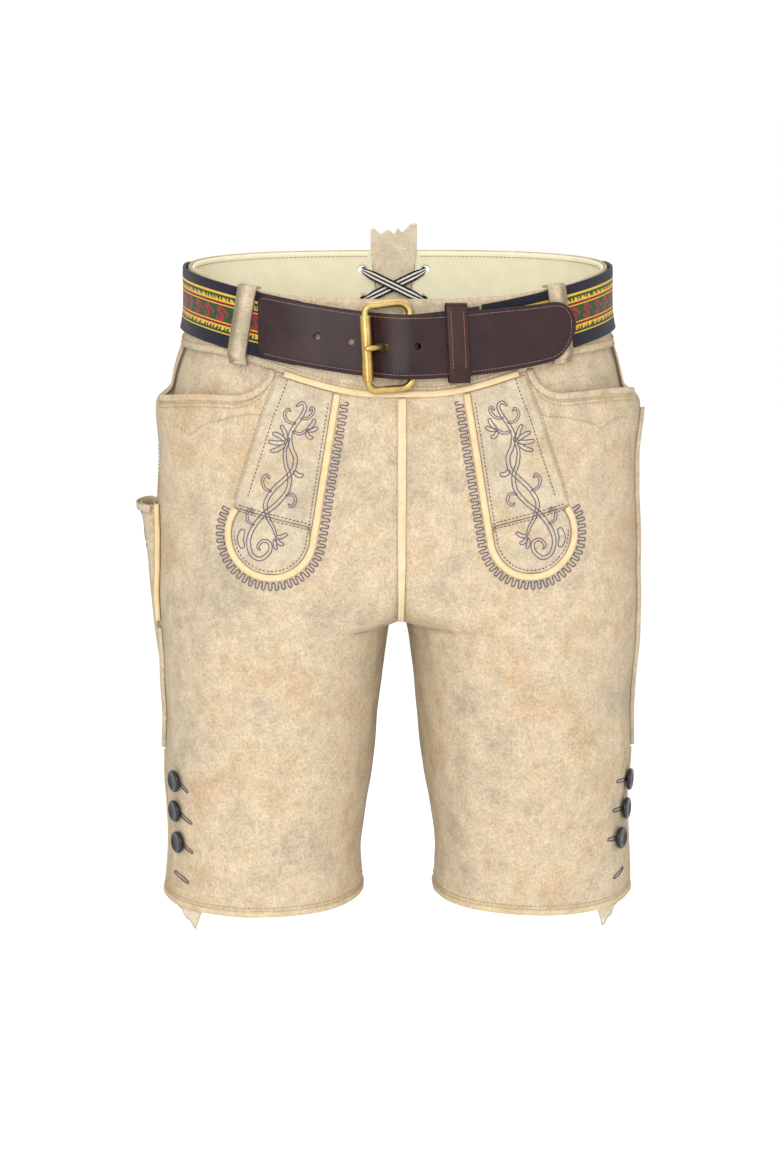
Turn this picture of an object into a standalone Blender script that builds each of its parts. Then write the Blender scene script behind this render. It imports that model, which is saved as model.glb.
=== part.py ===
"""Short suede breeches in folk dress, worn hollow, with their own belt.

The origin is the middle of the waist, where the wearer holds the garment up.
+Z is up, -Y is the front and +X is the wearer's left. Sizes are in millimetres
and are turned to metres where a mesh gets its points. Every cloth piece is a
wall laid on one body surface, at its own lift above or below it.
"""
import math
from functools import lru_cache
from types import SimpleNamespace

import bmesh
import bpy
import numpy as np
from mathutils import Matrix, Vector

MM = 0.001
SEAM_GAP = 0.3            # between pieces that are sewn edge to edge
SIDE_GAP = 0.5            # between the panels at the side, where the flare bends them
BAND_GAP = 0.45           # between the panels' top edges and the waistband
SUEDE = 1.6               # thickness of the hide
LEFT, RIGHT = 1, -1       # the wearer's sides, as signs of X
SIDES = (("left", LEFT), ("right", RIGHT))

# ---- the body surface -------------------------------------------------------

# height, half width, depth in front, depth behind, squareness in front, squareness behind
BODY_SECTIONS = (
    (60, 160, 105, 109, 2.50, 3.00),
    (0, 163, 108, 112, 2.50, 3.00),
    (-45, 165, 112, 115, 2.50, 2.90),
    (-73, 174, 115, 119, 2.45, 2.70),
    (-106, 181, 117, 124, 2.40, 2.60),
    (-150, 188, 117, 131, 2.40, 2.50),
    (-203, 190, 115, 131, 2.35, 2.40),
    (-260, 191, 113, 121, 2.25, 2.30),
    (-309, 189.5, 109, 105, 2.15, 2.15),
    (-350, 187, 104, 95, 2.10, 2.10),
    (-391, 187, 100, 89, 2.10, 2.10),
    (-431, 186, 96, 85, 2.10, 2.10),
    (-472, 187, 93, 82, 2.10, 2.10),
    (-501, 189, 91, 80, 2.10, 2.10),
    (-540, 190, 90, 79, 2.10, 2.10),
)
CROTCH = -277.0           # height of the lowest point between the legs
FORK_RISE = 170.0         # height above the crotch where the legs have become one body
FORK_POWER = 3.2
LEG_MIDDLE, LEG_SPREAD = 95.5, 0.062          # a leg's middle line at the crotch, and its slope below
# height, distance of a leg's inner side from the middle
LEG_GAPS = ((CROTCH, 0.0), (-278.5, 4.2), (-280, 5.6), (-284, 6.4), (-292, 7.8), (-309, 10.4),
            (-350, 15.2), (-391, 19.6), (-431, 24.8), (-472, 29.6), (-501, 29.0), (-540, 29.0))
# height, angle by which the side seam leads the side
SEAM_LEADS = ((-60, 0.10), (-110, 0.14), (-150, 0.20), (-345, 0.20), (-392, 0.06), (-540, 0.05))
# side (0 both), 1 front or -1 back, x and z of both ends, width, height of the fold
FOLDS = (
    (RIGHT, 1, 167, -56, 161, -100, 9, -2.6),
    (LEFT, 1, 156, -58, 162, -100, 9, -2.4),
    (LEFT, 1, 20, -240, 74, -264, 8, -1.4),
    (RIGHT, 1, 26, -252, 96, -286, 13, -1.3),
    (RIGHT, 1, 124, -322, 112, -474, 20, -1.6),
    (RIGHT, 1, 70, -340, 78, -470, 17, 1.2),
    (LEFT, 1, 62, -345, 70, -476, 18, -1.4),
    (LEFT, 1, 112, -360, 106, -482, 16, 1.2),
    (0, -1, 24, -246, 118, -280, 14, -2.8),
    (0, -1, 34, -276, 132, -312, 15, -2.4),
    (RIGHT, -1, 112, -330, 104, -472, 20, -1.8),
    (LEFT, -1, 96, -335, 108, -474, 21, -1.6),
)
FLARE = 9.0               # how far the pocket mouth stands out at the side
# heights where the flare starts and is full, in front and at the side; and where it has ended
FLARE_TOP, FLARE_FULL, FLARE_END = (-74.0, -93.0), (-94.0, -107.0), -172.0
FLARE_TURN = (2.75, 3.02)                     # angles between which it turns from the front's to the side's
FLARE_FRONT, FLARE_SIDE, FLARE_BACK = 2.25, 2.95, 0.55       # angles between which it grows and fades

# ---- heights of the cut edges -----------------------------------------------

TOP_DIP, TOP_RISE = 17.0, 2.5                 # waist's top edge, below the side in front, above it behind
BAND_SIDE, BAND_FRONT, BAND_BACK = -61.0, -88.0, -66.0
BAND_RISE = (0.10, 0.87)  # shares of the half width between which its lower edge rises
HEM = -499.0
BAND_LIFT, BAND_THICK = 0.8, 2.4
FACING_LIFT, FACING_THICK, FACING_TOP_GAP, FACING_BOTTOM_GAP = -2.1, 1.0, 0.6, 8.0
PANEL_COLUMNS, UPPER_ROWS, LOWER_ROWS = 15, 11, 6
BAND_COLUMNS, BAND_ROWS = 19, 5
UPPER_CROWDING, LOWER_CROWDING = 1.8, 1.5     # how closely the rows stand at the crotch
ROW_START = -215.0        # below this height the panels' rows are level
NOTCH_HALF, NOTCH_END = 19.0, -130.0          # laced notch at the back: half width at the top, lowest point
# of each pocket mouth: start in x, floor, length of its rounded corner, droop at the side and its power
MOUTHS = {LEFT: (100.3, -90.5, 22.0, 13.0, 6), RIGHT: (100.7, -92.0, 28.0, 13.0, 3)}
MOUTH_LEVEL, MOUTH_COLUMN, MOUTH_CROWDING, MOUTH_EVEN = -80.0, 6, 1.3, -150.0
DROOP_START, DROOP_LENGTH = 125.0, 57.0
BINDING_WIDTH, BINDING_THICK, BINDING_LIFT, BINDING_OVER = 5.3, 1.8, 1.0, 0.4
HIP_START, HIP_TUCK, HIP_LAP = 14.0, 6.0, 0.07   # before the mouth, up behind the band, past the side seam
HIP_LIFT, HIP_THICK, HIP_END = -3.6, 1.4, -168.0

# ---- trims ------------------------------------------------------------------

TRIM_LIFT, TRIM_THICK = 0.6, 1.0
TRIM_SEAM_X, TRIM_SEAM_Z, TRIM_SEAM_SLOPE, TRIM_SEAM_TUCK = 92.2, -67.0, 0.325, 1.5
TIP_X, TIP_Z, TIP_RADIUS = 99.5, -196.5, 32.5
TIP_JOIN, TIP_END = math.radians(188.6), math.radians(396.0)
TRIM_TOP_X, TRIM_TOP_Z = 48.9, -88.2
CROSS_X, CROSS_Z, CROSS_SLOPE = 122.0, -177.0, 0.235
TRIM_TOP_GAP = 3.2
TIP_TOP_OUTER, TIP_TOP_INNER, TIP_LOW_OUTER, TIP_LOW_INNER = 39.8, 167.2, -80.0, 260.0   # degrees
PIPING_WIDTH, PIPING_HEIGHT, PIPING_LIFT = 5.4, 2.2, 0.5
BAND_PIPING_X, BAND_PIPING_WIDTH, BAND_PIPING_HEIGHT, BAND_PIPING_LIFT = 88.0, 5.0, 1.6, 1.35
# across, up: a soft half round
BEAD = ((-0.5, 0.0), (-0.38, 0.7), (0.0, 1.0), (0.38, 0.7), (0.5, 0.0))
FLAT = ((-0.5, 0.0), (-0.46, 1.0), (0.46, 1.0), (0.5, 0.0))
STRIP_HALF, STRIP_THICK, STRIP_LIFT, STRIP_END = 3.2, 1.2, 0.6, -266.0
STRIP_CLEAR, CLEAR_START, CLEAR_END = 1.3, 215.0, 252.0      # more lift where the legs' curve is tight
WELT_WIDTH, WELT_HEIGHT, WELT_LIFT, WELT_END = 9.0, 3.0, 0.8, -384.0
WELT_TOPS = {LEFT: -113.0, RIGHT: -283.0}     # from the pocket mouth, and from the knife pocket's strip

# ---- leg ends ---------------------------------------------------------------

HEM_DEPTH, HEM_THICK, HEM_LIFT, HEM_OPENING = 5.0, 3.2, 1.2, 0.01
LAP_TOP, LAP_INNER, LAP_TUCK, LAP_COLUMNS = -378.0, 2.17, 0.12, 16
LAP_LIFT, LAP_THICK, LAP_LEVEL = -2.6, 1.4, -440.0
TAB_END, TAB_INNER, TAB_POINT, TAB_OUTER, TAB_TOOTH = -521.0, 2.20, 2.31, 2.62, 2.6
BUTTON_RADIUS, BUTTON_HEIGHT, BUTTON_LIFT = 9.0, 4.4, 1.0
# lead of each button before the side, height
BUTTONS = {
    RIGHT: ((0.57, -402.0), (0.56, -427.0), (0.60, -452.0)),
    LEFT: ((0.33, -408.5), (0.42, -430.5), (0.58, -451.3)),
}

# ---- knife pocket, on the wearer's right ------------------------------------

# height, how far it stands out, width, angle behind the side
SHEATH = ((-187.5, 13.0, 46, 0.005), (-215, 9.8, 44, 0.03), (-250, 6.2, 40, 0.09), (-280, 4.8, 36, 0.17),
          (-322, 4.2, 30, 0.31))
SHEATH_WALL, SHEATH_LIFT, SHEATH_RING, SHEATH_LEVELS = 1.5, 0.8, 14, 8
SHEATH_SQUARE, SHEATH_FLAT = 0.6, 3.0         # powers that square its front and gather its back's points
CUFF_DEPTH, CUFF_THICK, CUFF_RISE, CUFF_START = 5.5, 1.4, 0.4, 0.03
SHEATH_PIPING_TOP, SHEATH_PIPING_END = -185.0, -277.0
SHEATH_PIPING_WIDTH, SHEATH_PIPING_HEIGHT, SHEATH_PIPING_LIFT = 4.6, 3.6, 0.6

# ---- notch, gusset and lace -------------------------------------------------

EYELET_RADIUS, EYELET_DEPTH = 3.5, 12.0
EYELETS = ((26.0, -13.5), (24.5, -38.0))      # x and z of the upper and the lower pair
GUSSET_THICK, GUSSET_END, GUSSET_TOP, GUSSET_MARGIN = 1.5, -118.0, 19.0, 0.35
# place across from the wearer's left, tooth height over the gusset's top
GUSSET_TEETH = ((0.0, 5.0), (0.12, 5.5), (0.2, 2.5), (0.32, -2.0), (0.42, 1.8), (0.48, -3.2), (0.62, 0.4),
                (0.76, -3.0), (0.86, -1.2), (0.92, 1.6), (1.0, 0.2))
LACE_WIDTH, LACE_THICK, LACE_NECK = 7.5, 0.9, 3.8
# step from the eyelet, lift: into the hole and out of it, inside and outside; None is the stretch's own rest
LACE_INSIDE = ((0.4, -1.2), (0.8, -3.2), (3.4, -4.3), (8.5, None))
LACE_OUTSIDE = ((0.4, -0.6), (0.8, 1.1), (4.0, 2.0), (8.0, 2.0))
LACE_UNDER, LACE_OVER, LACE_BAR = -4.3, -5.8, 2.0

# ---- belt -------------------------------------------------------------------

BELT_WIDTH, BELT_LIFT = 48.0, 3.0
BELT_SIDE, BELT_SAG, BELT_BACK = -24.5, 28.0, -44.0
WEB_THICK, STRAP_THICK, CHAPE_THICK = 2.2, 3.0, 1.6
BAND_POWER, STRAP_POWER = 1.4, 2.2            # how fast the belt sags from the side to the front
WEB_START, WEB_END = -76.0, 60.0              # x of the woven band's ends, in front
STRAP_START, STRAP_TIP = -105.0, 126.0
STRAP_CORNER, STRAP_ROUND = 6.0, 20.0
STRAP_FREE, STRAP_FALL, STRAP_NARROW = 60.0, 3.0, 1.5        # start of its loose end, its drop and narrowing
# x, lift of the strap's inner face: over the band, under the roller, over the bar, keeper, loop
STRAP_LIFTS = ((-105, 5.6), (-70, 5.6), (-46, 3.4), (-31, 3.1), (-25, 3.1), (-19.5, 5.4), (-12, 11.2),
               (-2, 14.0), (8, 14.4), (17, 11.6), (30, 7.7), (38, 7.45), (56, 7.3), (78, 7.3), (100, 8.5),
               (118, 8.9), (126, 8.9))
HOLE_RADIUS, HOLE_PITCH, FIRST_HOLE, HOLES = 2.6, 24.6, -62.5, 5
PRONG_HOLE, PRONG_SHIFT, PRONG_SLOT = 2, (-1.4, 0.0, -1.1), (1.9, 1.25, 1.0)
BUCKLE_X, BAR_X, BUCKLE_HALF = -26.7, 6.9, 31.9
ROLLER_CORNER, BAR_CORNER = 6.0, 9.0
BUCKLE_LIFT, BAR_LIFT, BUCKLE_ROD = 11.0, 7.9, 2.8
BUCKLE_Z = -52.5
BUCKLE_LEAN, BUCKLE_TILT = -0.048, 0.09       # its bars' lean from upright, its other sides' tilt
ROLLER_RADIUS, ROLLER_BORE, ROLLER_HALF = 4.4, 3.1, 24.8
PRONG_ROD, PRONG_EYE, PRONG_EYE_SHARE = 2.2, 4.5, 0.54
PRONG_ROUTE = ((-0.7, 7.2), (-6.1, 8.0), (-12.1, 8.6), (-15.4, 11.0), (-17.6, 13.8), (-21.4, 17.2),
               (-26.5, 18.0), (-28.2, 17.5))
CHAPE_END, CHAPE_SLOT, CHAPE_BACK, CHAPE_FRONT = 57.0, (22.0, 26.0, 7.0), 4.9, 5.2
CHAPE_STRAIGHT, CHAPE_NECK, CHAPE_CLEAR, CHAPE_MARGIN = 23.0, 16.0, 0.9, 1.0
KEEPER_X, KEEPER_WIDTH, KEEPER_HALF, KEEPER_THICK, KEEPER_LEAN = 41.0, 15.2, 28.6, 1.4, -0.046
KEEPER_LOW, KEEPER_HIGH, KEEPER_POWER = 2.6, 11.9, 7
LOOP_WIDTH, LOOP_THICK, LOOP_LIFT = 15.5, 2.0, 5.9
# rise over the waist's top edge, lift of the loop's inner face: in front from inside the waist,
# behind from the waistband's outer face
LOOP_STARTS = {
    1: ((1.0, -0.8), (1.4, 1.6), (1.1, 4.4), (-0.6, 6.0)),
    -1: ((-6.0, 1.2), (-6.2, 3.2), (-7.2, 5.2), (-10.5, 6.1)),
}
# drop below the belt's lower edge, lift: back down to the waistband
LOOP_FINISH = ((-2.0, 5.9), (2.4, 4.9), (5.2, 2.2), (8.0, 1.2))
# name, side, 1 front or -1 back, x at the top, x at the bottom
BELT_LOOPS = (
    ("belt_loop_front_left", LEFT, 1, 114.5, 120.5),
    ("belt_loop_front_right", RIGHT, 1, 113.4, 121.2),
    ("belt_loop_back_left", LEFT, -1, 84.0, 86.0),
    ("belt_loop_back_right", RIGHT, -1, 84.0, 86.0),
)

# ---- colours: red, green, blue, roughness, metallic -------------------------

FINISHES = {
    "suede": (0.70, 0.57, 0.38, 0.95, 0.0),
    "piping": (0.86, 0.72, 0.45, 0.85, 0.0),
    "facing": (0.82, 0.77, 0.58, 0.60, 0.0),
    "trim": (0.72, 0.62, 0.44, 0.95, 0.0),
    "web": (0.10, 0.12, 0.08, 0.90, 0.0),
    "belt_leather": (0.055, 0.020, 0.022, 0.45, 0.0),
    "brass": (0.55, 0.40, 0.16, 0.38, 1.0),
    "horn": (0.015, 0.017, 0.030, 0.35, 0.0),
    "lace": (0.02, 0.02, 0.025, 0.85, 0.0),
}


def clear_scene():
    for thing in list(bpy.data.objects):
        bpy.data.objects.remove(thing, do_unlink=True)


def new_collection(name):
    collection = bpy.data.collections.new(name)
    bpy.context.scene.collection.children.link(collection)
    return collection


clear_scene()
PARTS = new_collection("lederhosen")
CUTTERS = new_collection("cutters")


def make_finish(name):
    red, green, blue, roughness, metallic = FINISHES[name]
    finish = bpy.data.materials.new(name)
    finish.use_nodes = True
    shader = finish.node_tree.nodes["Principled BSDF"]
    shader.inputs["Base Color"].default_value = (red, green, blue, 1.0)
    shader.inputs["Roughness"].default_value = roughness
    shader.inputs["Metallic"].default_value = metallic
    return finish


FINISH = {name: make_finish(name) for name in FINISHES}


# ---- smooth tables ----------------------------------------------------------

def curve_through(rows, index):
    """Return a smooth function through one column of a table, over its first column."""
    ordered = sorted(rows)
    places = np.array([row[0] for row in ordered], float)
    values = np.array([row[index] for row in ordered], float)
    slopes = np.gradient(values, places)

    def value(place):
        place = min(max(place, places[0]), places[-1])
        k = min(max(int(np.searchsorted(places, place)) - 1, 0), len(places) - 2)
        step = places[k + 1] - places[k]
        t = (place - places[k]) / step
        rise = (3 - 2 * t) * t * t
        start = t * (1 - t) ** 2 * step * slopes[k]
        end = t * t * (t - 1) * step * slopes[k + 1]
        return float(values[k] * (1 - rise) + values[k + 1] * rise + start + end)

    return value


def ease(value, low, high):
    """Rise smoothly from 0 at low to 1 at high."""
    t = min(max((value - low) / (high - low), 0.0), 1.0)
    return t * t * (3 - 2 * t)


def blend(a, b, share):
    return a + (b - a) * share


body_curves = [curve_through(BODY_SECTIONS, index) for index in range(1, 6)]
leg_gap = curve_through(LEG_GAPS, 1)
seam_lead = curve_through(SEAM_LEADS, 1)
strap_lift = curve_through(STRAP_LIFTS, 1)
sheath_curves = [curve_through(SHEATH, index) for index in range(1, 4)]


# ---- the body surface -------------------------------------------------------

@lru_cache(maxsize=None)
def ring(z):
    """Section at a height: of the left leg below the crotch, of the whole body well above it."""
    half, front, back, front_power, back_power = (curve(z) for curve in body_curves)
    inner = leg_gap(z)
    middle = LEG_MIDDLE + (CROTCH - z) * LEG_SPREAD
    if z > CROTCH:
        share = min((z - CROTCH) / FORK_RISE, 1.0)
        inner = -half * (1 - (1 - share) ** FORK_POWER)
        middle = LEG_MIDDLE * (1 - ease(share, 0.0, 1.0))
    return SimpleNamespace(middle=middle, inside=middle - inner, outside=half - middle, front=front,
                           back=back, front_power=front_power, back_power=back_power)


def ring_point(phi, z):
    """Point at an angle that runs from the inside, over the front, the side (pi) and the back."""
    level = ring(z)
    cosine, sine = math.cos(phi), math.sin(phi)
    power, depth = level.front_power, level.front
    if sine < 0:
        power, depth = level.back_power, level.back
    scale = (abs(cosine) ** power + abs(sine) ** power) ** (-1 / power)
    radius = level.inside if cosine > 0 else level.outside
    return np.array((level.middle - radius * scale * cosine, -depth * scale * sine, z))


def outward(phi, z):
    along = ring_point(phi + 0.004, z) - ring_point(phi - 0.004, z)
    up = ring_point(phi, z + 0.5) - ring_point(phi, z - 0.5)
    normal = np.cross(along, up)
    return normal / np.linalg.norm(normal)


def angle_at(x, z, face):
    """Angle where the section has this x, on the front (face 1) or the back (face -1)."""
    level = ring(z)
    power = level.front_power if face > 0 else level.back_power
    radius = level.inside if x < level.middle else level.outside
    cosine = min(max((level.middle - x) / radius, -1.0), 1.0)
    sine = (1 - abs(cosine) ** power) ** (1 / power)
    phi = math.atan2(sine, cosine)
    return phi if face > 0 else 2 * math.pi - phi


def fold_height(x, face, z):
    total = 0.0
    for side, fold_face, x1, z1, x2, z2, width, height in FOLDS:
        if fold_face != face or (side and side * x < 0):
            continue
        run = (x2 - x1, z2 - z1)
        length = math.hypot(*run)
        offset = (abs(x) - x1, z - z1)
        along = (offset[0] * run[0] + offset[1] * run[1]) / length ** 2
        apart = abs(offset[0] * run[1] - offset[1] * run[0]) / length
        ends = max(0.0, 1 - abs(2 * along - 1) ** 3)
        total += height * ends * math.exp(-(apart / width) ** 2)
    return total


def flare_height(phi, z):
    turn = ease(phi, *FLARE_TURN)
    top, full = blend(*FLARE_TOP, turn), blend(*FLARE_FULL, turn)
    rise = ease(-z, -top, -full) * (1 - ease(-z, -full, -FLARE_END)) ** 2
    spread = ease(phi, FLARE_FRONT, FLARE_SIDE) * (1 - ease(phi, math.pi, math.pi + FLARE_BACK))
    return FLARE * rise * spread


def place(side, phi, z, lift=0.0, flare=1.0):
    """Point on the worn surface, in millimetres, lifted along its normal."""
    base = ring_point(phi, z)
    face = 1 if math.sin(phi) > 0 else -1
    height = lift + fold_height(side * base[0], face, z) + flare * flare_height(phi, z)
    point = base + outward(phi, z) * height
    return np.array((side * point[0], point[1], point[2]))


def skin(side, phi, z, lift=0.0, flare=1.0):
    """As place, but kept on its own side of the middle seam."""
    point = place(side, phi, z, lift, flare)
    point[0] = side * max(side * point[0], SEAM_GAP / 2)
    return point


def centre_place(x, z, lift, face):
    """Point of a piece that lies across the middle seam."""
    side = LEFT if x >= 0 else RIGHT
    phi = angle_at(abs(x), z, face)
    if abs(x) > 0.01:
        return place(side, phi, z, lift)
    base = ring_point(phi, z)
    normal = outward(phi, z)
    normal[0] = 0.0
    point = base + normal * lift / normal.dot(normal)
    point[0] = 0.0
    return point


def side_seam(z):
    return math.pi - seam_lead(z)


def edge_angle(z, gap=SEAM_GAP):
    return gap / 2 / ring(z).front


# ---- cut edges --------------------------------------------------------------

def width_share(phi, z=0.0):
    point = ring_point(phi, z)
    return min(abs(point[0]) / body_curves[0](z), 1.0)


def waist_top(phi):
    hollow = 1 - width_share(phi) ** 3
    return -TOP_DIP * hollow if math.sin(phi) > 0 else TOP_RISE * hollow


def band_bottom(phi):
    share = ease(width_share(phi, -75.0), *BAND_RISE)
    middle = BAND_FRONT if math.sin(phi) > 0 else BAND_BACK
    return blend(middle, BAND_SIDE, share)


def mouth_start(side):
    return angle_at(MOUTHS[side][0], MOUTH_LEVEL, 1)


def mouth_height(side, phi):
    """Height of the front panel's top edge: under the waistband, then along the pocket mouth."""
    start, floor, length, droop, power = MOUTHS[side]
    x = ring_point(phi, MOUTH_LEVEL)[0]
    top = band_bottom(phi)
    if x <= start:
        return top
    corner = 1 - math.sqrt(1 - max(0.0, 1 - (x - start) / length) ** 2)
    edge = blend(floor, band_bottom(mouth_start(side)), corner)
    return min(top, edge - droop * max(0.0, (x - DROOP_START) / DROOP_LENGTH) ** power)


def notch_half(z):
    return max(SEAM_GAP / 2, NOTCH_HALF * (z - NOTCH_END) / -NOTCH_END)


def front_inner(z):
    return max(angle_at(SEAM_GAP / 2, z, 1), edge_angle(z))


def back_inner(z, margin=0.0):
    return min(angle_at(notch_half(z) + margin, z, -1), 2 * math.pi - edge_angle(z))


# ---- mesh builders ----------------------------------------------------------

def add_object(name, mesh, finish, smooth=True):
    mesh.materials.append(FINISH[finish])
    if smooth:
        mesh.shade_smooth()
        mesh.set_sharp_from_angle(angle=math.radians(40))
    thing = bpy.data.objects.new(name, mesh)
    PARTS.objects.link(thing)
    return thing


def wall(name, finish, columns, rows, point, thickness, mirrored=False):
    """Sheet laid on point(u, v), its outer face, with its thickness inwards."""
    bm = bmesh.new()
    bmesh.ops.create_grid(bm, x_segments=columns, y_segments=rows, size=0.5)
    for vert in bm.verts:
        vert.co = Vector(point(vert.co.x + 0.5, 0.5 - vert.co.y)) * MM
    if mirrored:
        bmesh.ops.reverse_faces(bm, faces=bm.faces)
    mesh = bpy.data.meshes.new(name)
    bm.to_mesh(mesh)
    bm.free()
    thing = add_object(name, mesh, finish)
    shell = thing.modifiers.new("thickness", "SOLIDIFY")
    shell.thickness = thickness * MM
    shell.offset = -1.0
    return thing


def tube(name, finish, around, along, point, closed=False):
    """Solid lofted through rings: point(k, j) is corner k of ring j. It is capped unless closed."""
    bm = bmesh.new()
    bmesh.ops.create_grid(bm, x_segments=around, y_segments=along, size=0.5)
    for vert in bm.verts:
        k = round((vert.co.x + 0.5) * around) % around
        j = round((vert.co.y + 0.5) * along)
        vert.co = Vector(point(k, j % along if closed else j)) * MM
    bmesh.ops.remove_doubles(bm, verts=bm.verts, dist=0.00001)
    if not closed:
        bmesh.ops.holes_fill(bm, edges=bm.edges, sides=around)
    bmesh.ops.recalc_face_normals(bm, faces=bm.faces)
    mesh = bpy.data.meshes.new(name)
    bm.to_mesh(mesh)
    bm.free()
    return add_object(name, mesh, finish)


def bar_along(name, finish, route, normals, profile, width, height, lift):
    """Bar of one profile that follows a route of points with their surface normals."""
    frames = []
    for j, (middle, normal) in enumerate(zip(route, normals)):
        before, after = route[max(j - 1, 0)], route[min(j + 1, len(route) - 1)]
        ahead = after - before
        across = np.cross(ahead, normal)
        frames.append((middle, across / np.linalg.norm(across), normal))

    def corner(k, j):
        middle, across, normal = frames[j]
        offset, rise = profile[k]
        return middle + across * offset * width + normal * (lift + rise * height)

    return tube(name, finish, len(profile), len(route) - 1, corner)


def seam_bar(name, finish, side, stations, profile, width, height, lift, flare=1.0):
    """Bar along stations of angle and height on the body surface."""
    route = [place(side, phi, z, 0.0, flare) for phi, z in stations]
    normals = [outward(phi, z) * (side, 1, 1) for phi, z in stations]
    return bar_along(name, finish, route, normals, profile, width, height, lift)


def rod(name, finish, points, radius, cyclic=False, radii=None):
    """Round bar along points in millimetres."""
    curve = bpy.data.curves.new(name, "CURVE")
    curve.dimensions = "3D"
    curve.bevel_depth = radius * MM
    curve.bevel_resolution = 2
    curve.use_fill_caps = True
    spline = curve.splines.new("POLY")
    spline.points.add(len(points) - 1)
    for k, target in enumerate(points):
        spline.points[k].co = (*(Vector(target) * MM), 1.0)
        spline.points[k].radius = radii[k] if radii else 1.0
    spline.use_cyclic_u = cyclic
    curve.materials.append(FINISH[finish])
    thing = bpy.data.objects.new(name, curve)
    PARTS.objects.link(thing)
    return thing


def turned(name, finish, profile, steps):
    """Solid of revolution about Z; the profile runs down its outer side."""
    mesh = bpy.data.meshes.new(name)
    edges = [(k, k + 1) for k in range(len(profile) - 1)]
    if profile[0][0] > 0:
        edges.append((len(profile) - 1, 0))
    mesh.from_pydata([(x * MM, 0.0, z * MM) for x, z in profile], edges, [])
    thing = add_object(name, mesh, finish, smooth=False)
    screw = thing.modifiers.new("turn", "SCREW")
    screw.steps = steps
    screw.render_steps = steps
    screw.use_merge_vertices = True
    screw.merge_threshold = 0.00001
    screw.use_smooth_shade = True
    return thing


def cut(thing, cutter):
    cutter.hide_render = True
    cutter.display_type = "WIRE"
    for collection in list(cutter.users_collection):
        collection.objects.unlink(cutter)
    CUTTERS.objects.link(cutter)
    boolean = thing.modifiers.new("cut", "BOOLEAN")
    boolean.operation = "DIFFERENCE"
    boolean.object = cutter
    return boolean


def drill(name, middle, direction, radius, depth):
    """Cylinder for a hole, centred on a point in millimetres."""
    bpy.ops.mesh.primitive_cylinder_add(vertices=10, radius=radius * MM, depth=depth * MM)
    cutter = bpy.context.object
    cutter.name = name
    cutter.location = Vector(middle) * MM
    cutter.rotation_euler = Vector(direction).to_track_quat("Z", "Y").to_euler()
    return cutter


# ---- panels -----------------------------------------------------------------

def panel_level(v):
    """Height of a panel's row in the middle; rows crowd together at the crotch."""
    row = v * (UPPER_ROWS + LOWER_ROWS)
    if row <= UPPER_ROWS:
        return blend(CROTCH, BAND_FRONT - BAND_GAP, (1 - row / UPPER_ROWS) ** UPPER_CROWDING)
    return blend(CROTCH, HEM, ((row - UPPER_ROWS) / LOWER_ROWS) ** LOWER_CROWDING)


def front_share(side, u, level):
    """Place of a column between the seams: near the top, one column stands at the pocket mouth's start."""
    inner, outer = front_inner(MOUTH_LEVEL), side_seam(-100.0)
    start = (mouth_start(side) - inner) / (outer - inner)
    column = MOUTH_COLUMN / PANEL_COLUMNS
    if u <= column:
        share = start * u / column
    else:
        share = blend(start, 1.0, ((u - column) / (1 - column)) ** MOUTH_CROWDING)
    return blend(u, share, ease(level, ROW_START, MOUTH_EVEN))


def front_panel(name, side):
    def point(u, v):
        level = panel_level(v)
        nominal = blend(front_inner(MOUTH_LEVEL), side_seam(-100.0), front_share(side, u, MOUTH_LEVEL))
        top = mouth_height(side, nominal) - BAND_GAP
        z = level + (top - panel_level(0.0)) * ease(level, ROW_START, panel_level(0.0))
        phi = blend(front_inner(z), side_seam(z) - edge_angle(z, SIDE_GAP), front_share(side, u, level))
        return skin(side, phi, z)

    return wall(name, "suede", PANEL_COLUMNS, UPPER_ROWS + LOWER_ROWS, point, SUEDE, side == RIGHT)


def back_panel(name, side):
    def point(u, v):
        level = panel_level(v)
        top = band_bottom(blend(side_seam(-66.0), back_inner(-66.0), u)) - BAND_GAP
        z = level + (top - panel_level(0.0)) * ease(level, ROW_START, panel_level(0.0))
        phi = blend(side_seam(z) + edge_angle(z, SIDE_GAP), back_inner(z), u)
        return skin(side, phi, z)

    return wall(name, "suede", PANEL_COLUMNS, UPPER_ROWS + LOWER_ROWS, point, SUEDE, side == RIGHT)


def band_point(side, u, share, lift, top_gap=0.0, bottom_gap=0.0):
    """Point of the waistband: share 0 is its top edge, 1 its bottom edge."""
    nominal = blend(front_inner(-30.0), back_inner(-30.0), u)
    z = blend(waist_top(nominal) - top_gap, band_bottom(nominal) + bottom_gap, share)
    return skin(side, blend(front_inner(z), back_inner(z), u), z, lift, 0.0)


def waistband(name, side):
    return wall(name, "suede", BAND_COLUMNS, BAND_ROWS, lambda u, v: band_point(side, u, v, BAND_LIFT),
                BAND_THICK, side == RIGHT)


def waist_facing(name, side):
    def point(u, v):
        return band_point(side, u, v, FACING_LIFT, FACING_TOP_GAP, FACING_BOTTOM_GAP)

    return wall(name, "facing", BAND_COLUMNS, BAND_ROWS, point, FACING_THICK, side == RIGHT)


def hip_piece(name, side):
    """Back of the slanted pocket: it shows over the mouth and runs down behind the front panel."""
    start = MOUTHS[side][0] - HIP_START

    def point(u, v):
        first = angle_at(start, -75.0, 1)
        nominal = blend(first, side_seam(-80.0) + HIP_LAP, u)
        z = blend(band_bottom(nominal) + HIP_TUCK, HIP_END, v)
        last = side_seam(z) + HIP_LAP
        return skin(side, blend(angle_at(start, z, 1), last, u), z, HIP_LIFT, 0.0)

    return wall(name, "suede", 10, 7, point, HIP_THICK, side == RIGHT)


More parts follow.
